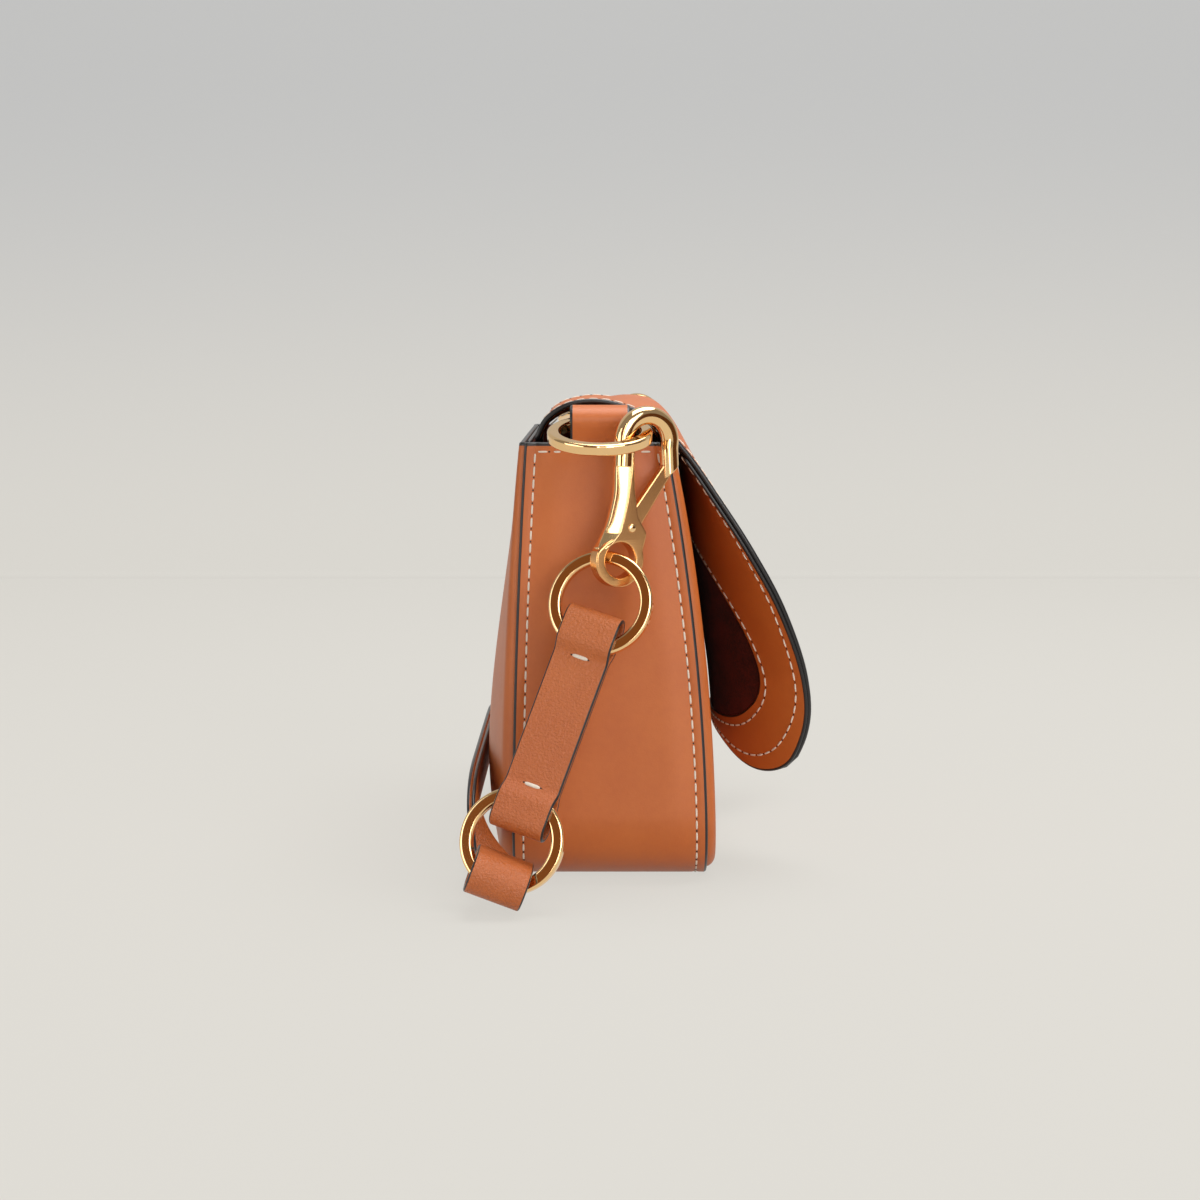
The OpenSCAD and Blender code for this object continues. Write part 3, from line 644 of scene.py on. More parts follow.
def places(node, columns, rows):
    """Even steps in X and in Z over the box of a node."""
    low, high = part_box(node)
    x = np.linspace(low.x, high.x, columns)[None, :]
    return x, np.linspace(low.z, high.z, rows)[:, None]


def pocket_grid(back):
    """The pocket's sheet: it follows the lining, with its slack growing upwards."""
    x, z = places("inner_pocket", 60, 50)
    up = (z - z[0]) / (z[-1] - z[0])
    slack = pocket_slack * (1 - (x / x[0, -1]) ** 4) * up
    return points_of(x, face_y(1, x, z) - pocket_depth - back - slack, z)


def anchor_grid(back):
    """The strip that anchors the flap: it follows the back panel."""
    x, z = places("flap_tail", 60, 16)
    return points_of(x, face_y(1, x, z) - leather_t - back, z)


shell = slab(pocket_grid(0), pocket_grid(pocket_t))
piece("slip_pocket", plain(*shell[:2]), dark_suede, "body", ["inner_pocket"])
shell = slab(anchor_grid(anchor_gap), anchor_grid(anchor_gap + anchor_t))
piece("flap_anchor", shell, calf, "body", ["flap_tail"])

# %% [markdown]
# ## The side tabs
# At each end the strip runs on as a narrow tab, folds over a ring and is caught inside the mouth.
# The tab is a flat band bent along a line: up the end, round the fold and down again.

# %% Tabs
tab_t = 1.8 * mm


def band_shell(path, side, across, thick, **rim):
    """Flat band along an open path: the path, plus steps across it, plus or minus half the
    thickness along the band's own normal."""
    rise = unit(np.cross(chords(path), side))[:, None, :] * thick / 2
    middle = path[:, None, :] + across[None, :, None] * side[:, None, :]
    return slab(middle + rise, middle - rise, **rim)


def edged(count, width, edge=0.6 * mm):
    """Steps across a band, with one close to each edge to keep its paint crisp."""
    half = width / 2
    return np.concatenate([[-half], np.linspace(edge - half, half - edge, count), [half]])


tab_low, tab_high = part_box("left_tab")
fold_w, fold_h = 7.5 * mm, 5.72 * mm
fold_z = tab_high.z - 6.62 * mm
fold_x = (tab_low.x + tab_high.x) / 2
out_x, in_x = 0.9 * mm - half_l, 2.95 * mm - half_l
right_fold_lower = 1.6 * mm


def tab_line(mirrored):
    """Up the end of the bag, round the fold and down inside the mouth."""
    turn = np.linspace(0, np.pi, 24)
    rise = np.array([[out_x, bag_h - 0.8 * mm], [out_x - 0.15 * mm, bag_h + 1.5 * mm]])
    fold = points_of(fold_x - fold_w * np.cos(turn), fold_z + fold_h * np.sin(turn))
    leg = np.array([[in_x, bag_h], [in_x, tab_low.z]])
    bent = relax(resample(np.vstack([rise, fold, leg]), 110), 12, closed=False)
    path = points_of(bent[:, 0], tab_y, bent[:, 1])
    if mirrored:
        path[:, 2] -= right_fold_lower * ease(path[:, 2], bag_h + 1 * mm, tab_high.z)
    return path


for name, mirrored in both_ends:
    path = tab_line(mirrored)
    side = np.tile([0.0, 1.0, 0.0], (len(path), 1))
    points, faces, paint = band_shell(path, side, edged(14, tab_w), tab_t)
    hidden = points[:, 2] < bag_h + 0.5 * mm
    outside = points[:, 0] < -half_l + 1.9 * mm
    inner = np.abs(points[:, 1] - tab_y) < tab_w / 2 - 0.6 * mm
    paint[hidden & outside & inner] = 0
    piece(f"{name}_side_tab", (points, faces, paint), calf, "body",
          [f"{name}_tab"], mirrored)

# %% [markdown]
# ## The flap
# The flap leaves the back of the mouth, arches over it and comes down in front, and its sides
# curl away from the body. Two lines in side view, one at the middle and one at the rim, give its
# height and depth; between them the surface blends with the cube of the distance from the middle.

# %% The flap's surface
flap_half = 93 * mm
flap_run = 1.6 * bag_h
flap_t = 2 * mm
facing_t = 1.5 * mm
crest_sag = 2.5 * mm
centre_shares = np.array([[0.400, 1.003], [0.352, 1.040], [0.235, 1.072], [0.075, 1.083],
                          [-0.100, 1.096], [-0.256, 1.083], [-0.370, 1.027], [-0.437, 0.941],
                          [-0.472, 0.824], [-0.524, 0.689], [-0.567, 0.554], [-0.610, 0.420],
                          [-0.635, 0.286]])
rim_shares = np.array([[0.400, 1.003], [0.345, 1.055], [0.230, 1.090], [0.080, 1.100],
                       [-0.080, 1.086], [-0.242, 1.050], [-0.398, 0.983], [-0.572, 0.876],
                       [-0.750, 0.756], [-0.920, 0.617], [-1.045, 0.455], [-1.050, 0.314],
                       [-0.895, 0.140]])
width_shares = np.array([[0.985], [0.99], [1], [1], [1], [1], [1], [1], [0.985], [0.94], [0.87],
                         [0.78], [0.54]])


def smooth(table, share):
    """Catmull-Rom curve through the rows of a table, at shares of the way along it."""
    n = len(table) - 1
    at = np.clip(share, 0, 1) * n
    k = np.minimum(at.astype(int), n - 1)
    f = (at - k)[..., None]
    a, b = table[np.maximum(k - 1, 0)], table[k]
    c, d = table[k + 1], table[np.minimum(k + 2, n)]
    return 0.5 * (2 * b + (c - a) * f + (2 * a - 5 * b + 4 * c - d) * f ** 2
                  + (3 * b - a - 3 * c + d) * f ** 3)


def flap_half_width(t):
    """Half the width of the flap at a share t down it."""
    return smooth(width_shares, t)[..., 0] * flap_half


def flap_skin(u, t):
    """Outer face at a share u across and t down."""
    middle, rim = smooth(centre_shares, t), smooth(rim_shares, t)
    p = middle + (rim - middle) * (np.abs(u) ** 3)[..., None]
    sag = crest_sag * np.clip(u, 0, 1) ** 2 * ease(t, 0.03, 0.2) * (1 - ease(t, 0.36, 0.52))
    return points_of(u * flap_half_width(t), p[..., 0] * bag_d, p[..., 1] * bag_h - sag)


def flap_point(u, t, depth):
    """A point at a depth under the outer face, along the surface's own normal."""
    fine = 0.004
    across = flap_skin(np.minimum(u + fine, 1), t) - flap_skin(np.maximum(u - fine, -1), t)
    down = flap_skin(u, np.minimum(t + fine, 1)) - flap_skin(u, np.maximum(t - fine, 0))
    depth = np.broadcast_to(depth, u.shape)[..., None]
    return flap_skin(u, t) - depth * unit(np.cross(down, across))


def flat_to_skin(flat, depth):
    """A point of the flat pattern, as [X, length down], laid on the flap."""
    t = np.clip(flat[..., 1] / flap_run, 0, 1)
    u = np.clip(flat[..., 0] / flap_half_width(t), -1, 1)
    return flap_point(u, t, depth)


print("flap:", round(2 * flap_half / mm), "mm wide,", round(flap_run / mm), "mm long when flat")

# %% [markdown]
# The outer leather is one sheet with a rounded tip. Under it lie a leather facing along the rim
# and a suede field inside that. All three are laid out on the flat pattern first, as a cutter
# would, and only then put on the curved surface. The field is a wide oval near the tip: a
# superellipse, which is also what the inner row of stitches follows.

# %% Flap leather
tip_cut = 0.015
tip_corner = 0.045
tip_corner_share = 0.35
flap_top = 0.02
near_rim = 1.6 * mm


def rounded_tip(u, v, top):
    """Share down the flap at each place of an even grid. Near the tip the rows bend up towards the
    sides, by the third power of u and then by a quarter of an ellipse, which rounds the corners."""
    k = np.clip((np.abs(u) - 1 + tip_corner_share) / tip_corner_share, 0, 1)
    lift = tip_cut * np.abs(u) ** 3 + tip_corner * (1 - np.sqrt(1 - k ** 2))
    return top + (1 - top) * v - lift * ease(v, 0.55, 1)


def spaced(count, edge):
    """Even shares from 0 to 1, with one more close to each end."""
    return np.concatenate([[0], np.linspace(edge, 1 - edge, count), [1]])


flap_u = (2 * spaced(72, near_rim / flap_half / 2) - 1)[None, :]
flap_v = spaced(110, near_rim / flap_run)[:, None]
u_grid, v_grid = np.broadcast_arrays(flap_u, flap_v)
t_grid = rounded_tip(u_grid, v_grid, flap_top)
shell = slab(flap_point(u_grid, t_grid, 0), flap_point(u_grid, t_grid, flap_t), bulge=0.9)
piece("flap_outer_leather", shell, calf, "flap", ["flap_leather"])

# %% Facing
rim_v = np.linspace(0.06, 1, 160)
rim_u = np.sin(0.5 * np.pi * np.linspace(-1, 1, 120))
side_t = rounded_tip(np.ones(160), rim_v, flap_top)
tip_t = rounded_tip(rim_u, np.ones(120), flap_top)
side_rim = points_of(flap_half_width(side_t), side_t * flap_run)
tip_rim = points_of(rim_u * flap_half_width(tip_t), tip_t * flap_run)
pattern = np.concatenate([side_rim * [-1, 1], tip_rim[1:-1], side_rim[::-1]])
pattern = relax(resample(pattern, 361), 4, closed=False)
heading = np.gradient(pattern, axis=0)
inward = unit(points_of(heading[:, 1], -heading[:, 0]))
inward = inward * np.sign(np.sum(inward * (np.array([0, 0.5 * flap_run]) - pattern), -1)[0])


def along_rim(inset):
    """The rim of the flat pattern, drawn in by an inset and eased where it turns tightly."""
    return relax(pattern + inward * inset, 30, closed=False)


field_middle = np.array([0, 231 * mm])
field_half = np.array([64.5, 36]) * mm
field_power = 2.3
field_gap = 0.3 * mm
under_gap = 0.05 * mm
suede_t = 1.1 * mm
facing_top = 0.51 * flap_run
facing_share = np.array([0, 0.03, 0.07, 0.14, 0.25, 0.38, 0.52, 0.66, 0.8, 0.9, 0.96, 0.985, 1])


def oval(heading, grow=0.0):
    """Distance from the field's middle to a superellipse, in a direction in the flat pattern."""
    share = np.abs(heading) / (field_half + grow)
    return np.sum(share ** field_power, -1, keepdims=True) ** (-1 / field_power)


def facing_outline(count):
    """Rim of the facing: its straight top edge from the middle out, and the flap's rim below."""
    rim = pattern[pattern[:, 1] > facing_top]
    top = points_of((-under_gap, rim[0, 0], rim[-1, 0], under_gap), facing_top)
    return resample(np.vstack([top[:2], rim, top[2:]]), count)


edge_line = facing_outline(520)
heading = unit(edge_line - field_middle)
inner_line = field_middle + heading * oval(heading)
facing_rows = edge_line + facing_share[:, None, None] * (inner_line - edge_line)
shell = slab(flat_to_skin(facing_rows, flap_t + under_gap),
             flat_to_skin(facing_rows, flap_t + facing_t), bulge=0.9)
piece("flap_rim_facing", shell, calf, "flap", ["flap_facing"])

# %% Suede field
turn = np.linspace(0.03 - np.pi / 2, np.pi / 2 - 0.03, 70)[:, None]
bow_out = np.sign(np.sin(turn)) * np.abs(np.sin(turn)) ** (2 / field_power)
field_x = (field_half[0] - field_gap) * np.cos(turn) ** (2 / field_power) * np.linspace(-1, 1, 70)
field_y = field_middle[1] + (field_half[1] - field_gap) * np.broadcast_to(bow_out, field_x.shape)
field = points_of(field_x, field_y)
shell = slab(flat_to_skin(field, flap_t + under_gap), flat_to_skin(field, flap_t + suede_t))
piece("flap_suede_field", plain(*shell[:2]), dark_suede, "flap", ["flap_suede"])

# %% [markdown]
# ## Rings
# The six rings are all alike: a heavy flat wire with softened bevels. The section is an octagon
# whose corners are eased, carried round a circle about the axis that the frame gives for each ring.

# %% Rings
ring_od = 40 * mm
ring_w = 4.8 * mm
ring_t = 4.4 * mm
bevel = 0.65 * mm
joints = {j["name"]: j for j in frame["joints"]}


def at(joint):
    """Where a joint of the frame is."""
    return np.array(joints[joint]["pos_m"])


def axis_of(joint):
    """The direction of a joint's axis."""
    return unit(np.array(joints[joint]["axis"], float))


def ring_shell(centre, axis):
    """Flat wire with softened corners, carried round an axis from an arbitrary start."""
    first = unit(np.cross(axis, [0.3, 0.9, 0.2]))
    second = np.cross(axis, first)
    turn = np.linspace(0, 2 * np.pi, 180, endpoint=False)[:, None]
    out = np.cos(turn) * first + np.sin(turn) * second
    a, b = ring_w / 2, ring_t / 2
    half = np.array([[a, b - bevel], [a - bevel, b], [bevel - a, b], [-a, b - bevel]])
    section = relax(resample(np.vstack([half, -half]), 56, closed=True), 1)
    return sweep(centre + out * (ring_od - ring_w) / 2, out, section)


for name, mirrored in both_ends:
    for part in ("side_ring", "upper_ring", "lower_ring"):
        body = f"{name}_{part}"
        shell = ring_shell(at(f"{body}_turn"), axis_of(f"{body}_turn"))
        piece(f"{body}_wire", shell, polished_gold, body, [body])

# %% [markdown]
# ## Snap hooks
# A snap hook is cast in one piece and polished: a round bow that passes through the side ring, a
# flat plate that widens to hold the gate's pin, and an eye for the next ring. The bow is a section
# swept round an arc. The plate and the gate are flat outlines, which Blender's own 2-D curves can
# fill, thicken and bevel, holes included. The polished slope along the plate's left edge is too
# wide for a bevel, so it is a section of eight points, carried down that edge.

# %% Hook places
hook_yaw = np.radians(30)
bow_ri, bow_w, hook_t = 6.7 * mm, 6 * mm, 5.6 * mm
bow_grow = 1 * mm
bow_rm = bow_ri + (bow_w + bow_grow) / 2
eye_ri, eye_ro = 6.6 * mm, 10.4 * mm
hook_seat = 3.9 * mm
bow_centre = at("left_hook_swing") - [0, 0, bow_ri - hook_seat]
hook_u = np.array([np.sin(hook_yaw), -np.cos(hook_yaw), 0])
hook_v = np.array([0, 0, 1.0])
hook_w = np.array([-np.cos(hook_yaw), -np.sin(hook_yaw), 0])
eye_uv = np.array([-12.9, -44]) * mm
pivot_uv = np.array([-7.87, -32.12]) * mm


def on_hook(points):
    """Points given across, up and out of the hook's plane, put in the bag's frame."""
    return bow_centre + points[..., :1] * hook_u + points[..., 1:2] * hook_v + points[..., 2:] * hook_w


def superellipse(a, b, power, count):
    """Section between an ellipse and a box: powers of the sine and cosine."""
    turn = np.linspace(0, 2 * np.pi, count, endpoint=False)
    c, s = np.cos(turn), np.sin(turn)
    return points_of(a * np.sign(c) * np.abs(c) ** (2 / power),
                     b * np.sign(s) * np.abs(s) ** (2 / power))


def bow_shell():
    """From the slanted end of its arm, round the arc, to its root in the plate."""
    turn = np.linspace(0, np.pi, 60)
    arc = points_of(bow_rm * np.cos(turn), bow_rm * np.sin(turn))
    arm = np.array([[10.3, -11.2], [10.0, -6], [9.78, -2]]) * mm
    root = np.array([[-9.8, -3], [-10.1, -9]]) * mm
    line = relax(resample(np.vstack([arm, arc, root]), 150), 24, closed=False)
    path = on_hook(np.column_stack([line, np.zeros(150)]))
    heading = np.gradient(path, axis=0)
    side = unit(np.cross(heading, hook_w))
    section = superellipse((bow_w + bow_grow) / 2, (hook_t + bow_grow) / 2, 2.3, 40)
    rings = sweep(path, side, section, closed=False)[0].reshape(150, 40, 3)
    slant = np.clip(1 - np.arange(150) / 22, 0, 1)[:, None, None] ** 1.5
    rings = rings + slant * 0.75 * section[None, :, :1] * unit(heading)[:, None, :]
    inner_ring = 0.5 * rings[0].mean(0) + 0.5 * rings[:1]
    return capped(np.concatenate([inner_ring, rings]))


# %% Flat parts with bevelled edges
def arc_points(centre, radius, start, end, count):
    """Points along an arc in the hook's plane, from one angle in degrees to another."""
    turn = np.radians(np.linspace(start, end, count))
    return np.asarray(centre) + radius * points_of(np.cos(turn), np.sin(turn))


def bevelled_plate(loops, thick, edge):
    """A filled outline with holes, thickened and bevelled by a 2-D curve, as points and faces."""
    curve = bpy.data.curves.new("outline", "CURVE")
    curve.dimensions = "2D"
    curve.fill_mode = "BOTH"
    curve.extrude = thick / 2 - edge
    curve.bevel_depth = edge
    curve.bevel_resolution = 3
    curve.offset = -edge
    for loop in loops:
        spline = curve.splines.new("POLY")
        spline.points.add(len(loop) - 1)
        flat = np.column_stack([loop, np.zeros(len(loop)), np.ones(len(loop))])
        spline.points.foreach_set("co", flat.ravel())
        spline.use_cyclic_u = True
    holder = bpy.data.objects.new("outline", curve)
    mesh = holder.to_mesh()
    points = np.empty(3 * len(mesh.vertices))
    mesh.vertices.foreach_get("co", points)
    faces = [list(p.vertices) for p in mesh.polygons]
    holder.to_mesh_clear()
    bpy.data.objects.remove(holder)
    bpy.data.curves.remove(curve)
    return points.reshape(-1, 3), faces

# %% Outlines of the plate and the lever
def eased_line(corners, count, passes):
    """A line through corners in millimetres, with its corners rounded."""
    return relax(resample(np.array(corners) * mm, count), passes, closed=False)


hook_left = eased_line([[-12.7, 1.5], [-12.9, -6], [-13.6, -19.6], [-16.4, -30.5], [-20.3, -37.5],
                        [-22.6, -40.3]], 40, 6)
hook_right = eased_line([[-2.9, -40.9], [-1.6, -36.5], [-1.1, -34.3], [-5.0, -28.0], [-6.4, -17.6],
                         [-6.7, 1.5]], 44, 1)
plate_left = eased_line([[-7.1, 1.5], [-7.5, -2.4], [-8.6, -12], [-10.1, -22], [-12.5, -31.5],
                         [-15.6, -35.6], [-19.6, -37.6], [-22.6, -40.3]], 44, 2)
plate_outline = np.vstack([plate_left, arc_points(eye_uv, eye_ro, 160, 372, 60), hook_right])
eye_hole = arc_points(eye_uv, eye_ri, 0, 352, 46)
pivot_hub = 3.5 * mm
lever_outline = np.vstack([arc_points(pivot_uv, pivot_hub, 120, 320, 26),
                           np.array([[10.79, -11.74], [7.19, -8.27]]) * mm])

print("plate outline has", len(plate_outline), "points")

# %% Hooks and gates
def keep_flats_flat(made):
    """Normals weighted by face area, so a bevel shades round and the plate beside it stays flat."""
    weighted = made.modifiers.new("flat faces", "WEIGHTED_NORMAL")
    weighted.weight = 90
    return made


def plate_piece(name, loops, thick, edge, body, node, mirrored):
    """A bevelled plate laid in the plane of the hook."""
    points, faces = bevelled_plate(loops, thick, edge)
    shell = on_hook(points), faces, np.zeros(len(points))
    keep_flats_flat(piece(name, shell, satin_gold, body, node, mirrored))


def flank_shell():
    """Polished slope of the hook: from the left edge of the hook, set back, to a crease where its
    plate begins. Each section is a closed loop of eight points across and out."""
    v = np.linspace(2, -39.5, 60) * mm
    left = np.interp(-v, -hook_left[:, 1], hook_left[:, 0]) - 0.1 * mm
    crease_v = np.array([2.5, -2.4, -12, -22, -33, -37.5, -40.5]) * mm
    crease_u = np.array([-7.0, -7.4, -8.5, -10.0, -12.6, -16.5, -21.2]) * mm
    crease = np.maximum(np.interp(-v, -crease_v, crease_u), left + 0.8 * mm)
    crest, back = hook_t / 2 + 0.2 * mm, -hook_t / 2
    low = crest - 0.56 * (crease - left)
    u = points_of(left, left + 0.4 * mm, crease - 0.15 * mm, crease + 0.15 * mm,
                  crease + 0.4 * mm, crease + 0.4 * mm, left + 0.5 * mm, left)
    w = points_of(low - 0.4 * mm, low, crest, crest, crest - 0.3 * mm, back + 0.5 * mm,
                  back + 0.1 * mm, back + 0.6 * mm)
    return capped(on_hook(points_of(u, v[:, None], w)))


def rivet_shell():
    """Pin turned about its axis: the radius at each height out from the middle of the hook."""
    profile = np.array([[0, 3.35], [0.7, 3.3], [1.25, 3.15], [1.6, 2.9], [1.6, 2.6], [1.45, 2.6],
                        [1.45, -2.6], [1.6, -2.6], [1.6, -2.9], [1.25, -3.15], [0.7, -3.3],
                        [0, -3.35]]) * mm
    turn = np.linspace(0, 2 * np.pi, 32, endpoint=False)[:, None]
    flat = points_of(pivot_uv[0] + profile[:, 0] * np.cos(turn),
                     pivot_uv[1] + profile[:, 0] * np.sin(turn), profile[:, 1])
    return plain(on_hook(flat), quads_of(numbers(32, len(profile)), wrap_rows=True))


plate_edge, lever_edge, lever_t = 0.8 * mm, 0.7 * mm, 3 * mm
for name, mirrored in both_ends:
    hook, gate = f"{name}_hook", f"{name}_gate"
    piece(f"{hook}_bow", bow_shell(), polished_gold, hook, (), mirrored)
    keep_flats_flat(piece(f"{hook}_flank", flank_shell(), polished_gold, hook, (),
                          mirrored))
    plate_piece(f"{hook}_plate", [plate_outline, eye_hole], hook_t, plate_edge, hook, [hook],
                mirrored)
    plate_piece(f"{gate}_lever", [lever_outline], lever_t, lever_edge, gate, [gate], mirrored)
    piece(f"{gate}_rivet", rivet_shell(), polished_gold, hook, [f"{gate}_pin"],
          mirrored)

# %% [markdown]
# ## Straps
# Every strap is one long band of leather doubled over a ring at each end and caught by a bar of
# thread. In side view it is a closed line: two layers that lie together, and a loop at each end
# where they part. The section carried along that line has painted half-round edges.

# %% The closed line of a doubled strap
strap_w = 22 * mm
strap_t = 1.8 * mm
bare_edge = 0.4 * mm
layer_gap = 0.04 * mm


def strap_section(width, thick):
    """Section of the band and its paint. The inner face stays bare up to its edge, so a thin
    brown line shows between the two black ones."""
    half, r = width / 2 - 0.45 * thick, thick / 2
    flat = np.concatenate([[-half], np.linspace(bare_edge - half, half - bare_edge, 9), [half]])
    turn = np.linspace(np.pi / 2, -np.pi / 2, 8)[1:-1]
    edge = points_of(half + 0.9 * r * np.cos(turn), r * np.sin(turn))
    inner = points_of(flat, np.full(len(flat), r))
    section = np.vstack([inner, edge, -inner, -edge])
    sealed = np.array([0, 0.2, 1, 1, 1, 0.9])
    return section, np.concatenate([np.zeros(11), sealed, np.zeros(11), sealed[::-1]])


def doubled_line(length, gap, straight, taper, count, passes):
    """Closed line in side view, as [along, off]. From each end: a half round with the gap as its
    radius, a straight where the layers stay apart, and a taper to where they lie together."""
    r = gap + strap_t / 2
    layer = strap_t / 2 + layer_gap
    turn = np.linspace(np.pi / 2, 0, 12)
    tip = length / 2 - gap - strap_t
    fold = points_of(tip + r * np.sin(np.pi / 2 - turn), r * np.sin(turn))
    start = np.array([[0, layer], [tip - straight - taper, layer], [tip - straight, r]])
    quarter = np.vstack([start, fold])
    half = np.vstack([quarter, (quarter * [1, -1])[-2::-1]])
    line = np.vstack([half, (half * [-1, 1])[-2:0:-1]])
    return relax(resample(line, count, closed=True), passes)


def strap_shell(line, place, side):
    """The section carried along a line, which two functions put in place and give its width."""
    section, paint = strap_section(strap_w, strap_t)
    return sweep(place(line), side(line), section, paint)


# %% Short links
upper, lower = at("left_upper_ring_turn"), at("left_lower_ring_turn")
face = axis_of("left_upper_ring_turn")
down = unit(lower - upper)
across = np.cross(-down, face)
link_length = 89 * mm
link_gap, link_loop, link_taper = 3.4 * mm, 8.7 * mm, 4.2 * mm
link_set_back = 1 * mm
link_middle = (upper + lower) / 2 - link_set_back * face
bar_stitch_from_end = 18.9 * mm
nip, nip_reach = 0.12 * mm, 2.2 * mm


def on_link(line):
    """The line between the two rings, its layers nipped together under the bar stitches."""
    along, off = line[:, :1], line[:, 1:]
    from_bar = link_length / 2 - bar_stitch_from_end - np.abs(along)
    nipped = off - nip * np.sign(off) * np.exp(-(from_bar / nip_reach) ** 2)
    return link_middle - along * down + nipped * face


link_line = doubled_line(link_length, link_gap, link_loop, link_taper, 360, 12)
shell = strap_shell(link_line, on_link, lambda line: np.tile(across, (len(line), 1)))
for name, mirrored in both_ends:
    piece(f"{name}_link_strap", shell, strap_calf, f"{name}_link",
          [f"{name}_link"], mirrored)

# %% [markdown]
# ## The long band
# The long band hangs from the two lower rings and rests behind the bag. At its ends it leans with
# the rings; towards its middle it stands up on edge against the back, so its line is turned as it
# goes. The lean, the height and the depth all follow one curve of how far it has left its ends.

# %% Long band
band_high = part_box("middle_band")[1]
band_tilt = np.radians(20.8)
band_lean = np.radians(95)
band_arch = 19 * mm
band_gap, band_loop, band_taper = 6.38 * mm, 12.5 * mm, 9 * mm
band_reach = 14.01 * mm
band_length = 2 * band_high.x
band_end = lower + band_reach * np.array([0, np.sin(band_tilt), -np.cos(band_tilt)])
band_straight_x = 127.3 * mm
band_off_back = 3.5 * mm
band_middle_y = face_y(1, 0, bag_h / 4) + band_off_back


def band_rise(x):
    """How far the band has left its ends: 0 at the rings, 1 along its middle."""
    return np.maximum(0, 1 - np.abs(x / band_straight_x) ** 8) ** 1.6


def band_turn(x):
    """How far the band leans back there, from the tilt of the rings to past upright."""
    return band_tilt + (band_lean - band_tilt) * band_rise(x)


def band_out(line):
    """The direction from one layer of the band to the other."""
    turn = band_turn(line[:, 0])
    return points_of(0, -np.sin(turn), np.cos(turn))


def band_side(line):
    """The direction of the band's width."""
    turn = band_turn(line[:, 0])
    return points_of(0, np.cos(turn), np.sin(turn))


def on_band(line):
    """The line laid from ring to ring, low and behind the bag."""
    x, off = line[:, 0], line[:, 1:]
    rise = band_rise(x)
    middle = points_of(x, band_end[1] + (band_middle_y - band_end[1]) * rise,
                       band_end[2] + band_arch * rise)
    return middle + off * band_out(line)


band_line = doubled_line(band_length, band_gap, band_loop, band_taper, 900, 8)
shell = strap_shell(band_line, on_band, lambda line: -band_side(line))
piece("long_band_strap", shell, strap_calf, "band",
      ["middle_band"])

# %% [markdown]
# ## Stitches
# A seam is one short bead of thread repeated at an even pitch, with a small dark dome between each
# two, painted as the shade in the hole where the thread dives into the leather. One bead and its
# hole shade are worked out once, and copies of them are laid along any line on any face.

# %% Lay stitches along a line
def bead(length, width, height):
    """Thread between two holes: sections that shrink at both ends, sunk by a third."""
    station = np.array([-0.5, -0.44, -0.3, 0, 0.3, 0.44, 0.5])
    size = np.array([0.1, 0.66, 0.95, 1, 0.95, 0.66, 0.1])
    turn = np.linspace(0, 2 * np.pi, 8, endpoint=False)
    a = np.broadcast_to(station[:, None] * length, (7, 8))
    b = size[:, None] * width / 2 * np.cos(turn)
    c = height * (size[:, None] * (0.6 * np.sin(turn) + 0.62) - 0.35)
    points = points_of(a, b, c).reshape(-1, 3)
    ends = np.array([[-0.52 * length, 0, 0], [0.52 * length, 0, 0]])
    caps = [[56, (k + 1) % 8, k, k] for k in range(8)]
    caps += [[57, 48 + k, 48 + (k + 1) % 8, 48 + (k + 1) % 8] for k in range(8)]
    faces = np.vstack([quads_of(numbers(7, 8), wrap_cols=True), np.array(caps)])
    return np.vstack([points, ends]), faces, np.zeros(58)


def hole_shade(radius, height, reach):
    """Small dark dome, painted as the shade inside a stitch hole, on the line of a bead, at some
    distance from its middle.
    """
    turn = np.linspace(0, 2 * np.pi, 8, endpoint=False)
    ring = points_of(radius * np.cos(turn), radius * np.sin(turn), np.full(8, -height))
    dome = np.vstack([ring, ring * [0.6, 0.6, -1.0], [[0, 0, 1.2 * height]]])
    faces = [[k, (k + 1) % 8, 8 + (k + 1) % 8, 8 + k] for k in range(8)]
    faces += [[8 + k, 8 + (k + 1) % 8, 16, 16] for k in range(8)]
    # paint mark 1 gives the dome the thread's dark colour: the painted shade of the hole
    return dome + [reach, 0, 0], np.array(faces), np.ones(17)


def laid(unit_shell, centres, along, out):
    """Copies of one small shell, each turned to its own direction along and out of the face."""
    sideways = unit(np.cross(out, along))
    along = unit(along)
    points, faces, paint = unit_shell
    copies = (centres[:, None] + points[None, :, :1] * along[:, None]
              + points[None, :, 1:2] * sideways[:, None] + points[None, :, 2:] * out[:, None])
    n, m = len(centres), len(points)
    return (copies.reshape(-1, 3), (faces[None] + m * np.arange(n)[:, None, None]).reshape(-1, 4),
            np.tile(paint, n))


stitch_pitch, stitch_length = 4.9 * mm, 3.7 * mm
thread_w, thread_h = 0.78 * mm, 0.5 * mm
hole_r, hole_h = 0.5 * mm, 0.1 * mm
stitch = joined(bead(stitch_length, thread_w, thread_h), hole_shade(hole_r, hole_h, stitch_pitch / 2))


def seam(line, out):
    """Stitches along a line of points with their outward directions, at an even pitch."""
    walk = walked(line)
    count = max(int(walk[-1] / stitch_pitch), 1)
    middles = (np.arange(count) + 0.5) * walk[-1] / count
    return laid(stitch, sampled(middles, walk, line),
                sampled(middles, walk, np.gradient(line, axis=0)),
                unit(sampled(middles, walk, out)))


print("one stitch has", len(stitch[1]), "faces")


# %% Seams of the body
seam_to_tab = 2.5 * mm
mouth_seam_in, mouth_seam_down = 7 * mm, 3.6 * mm


def strip_point(q, sign, y):
    """A point on the side strip, a share q of the way round it, at one end of the bag."""
    x, z = outline(q, 0)
    x, z = outline(q, -strip_lift(y, z))
    return points_of(x * -sign, y, z)


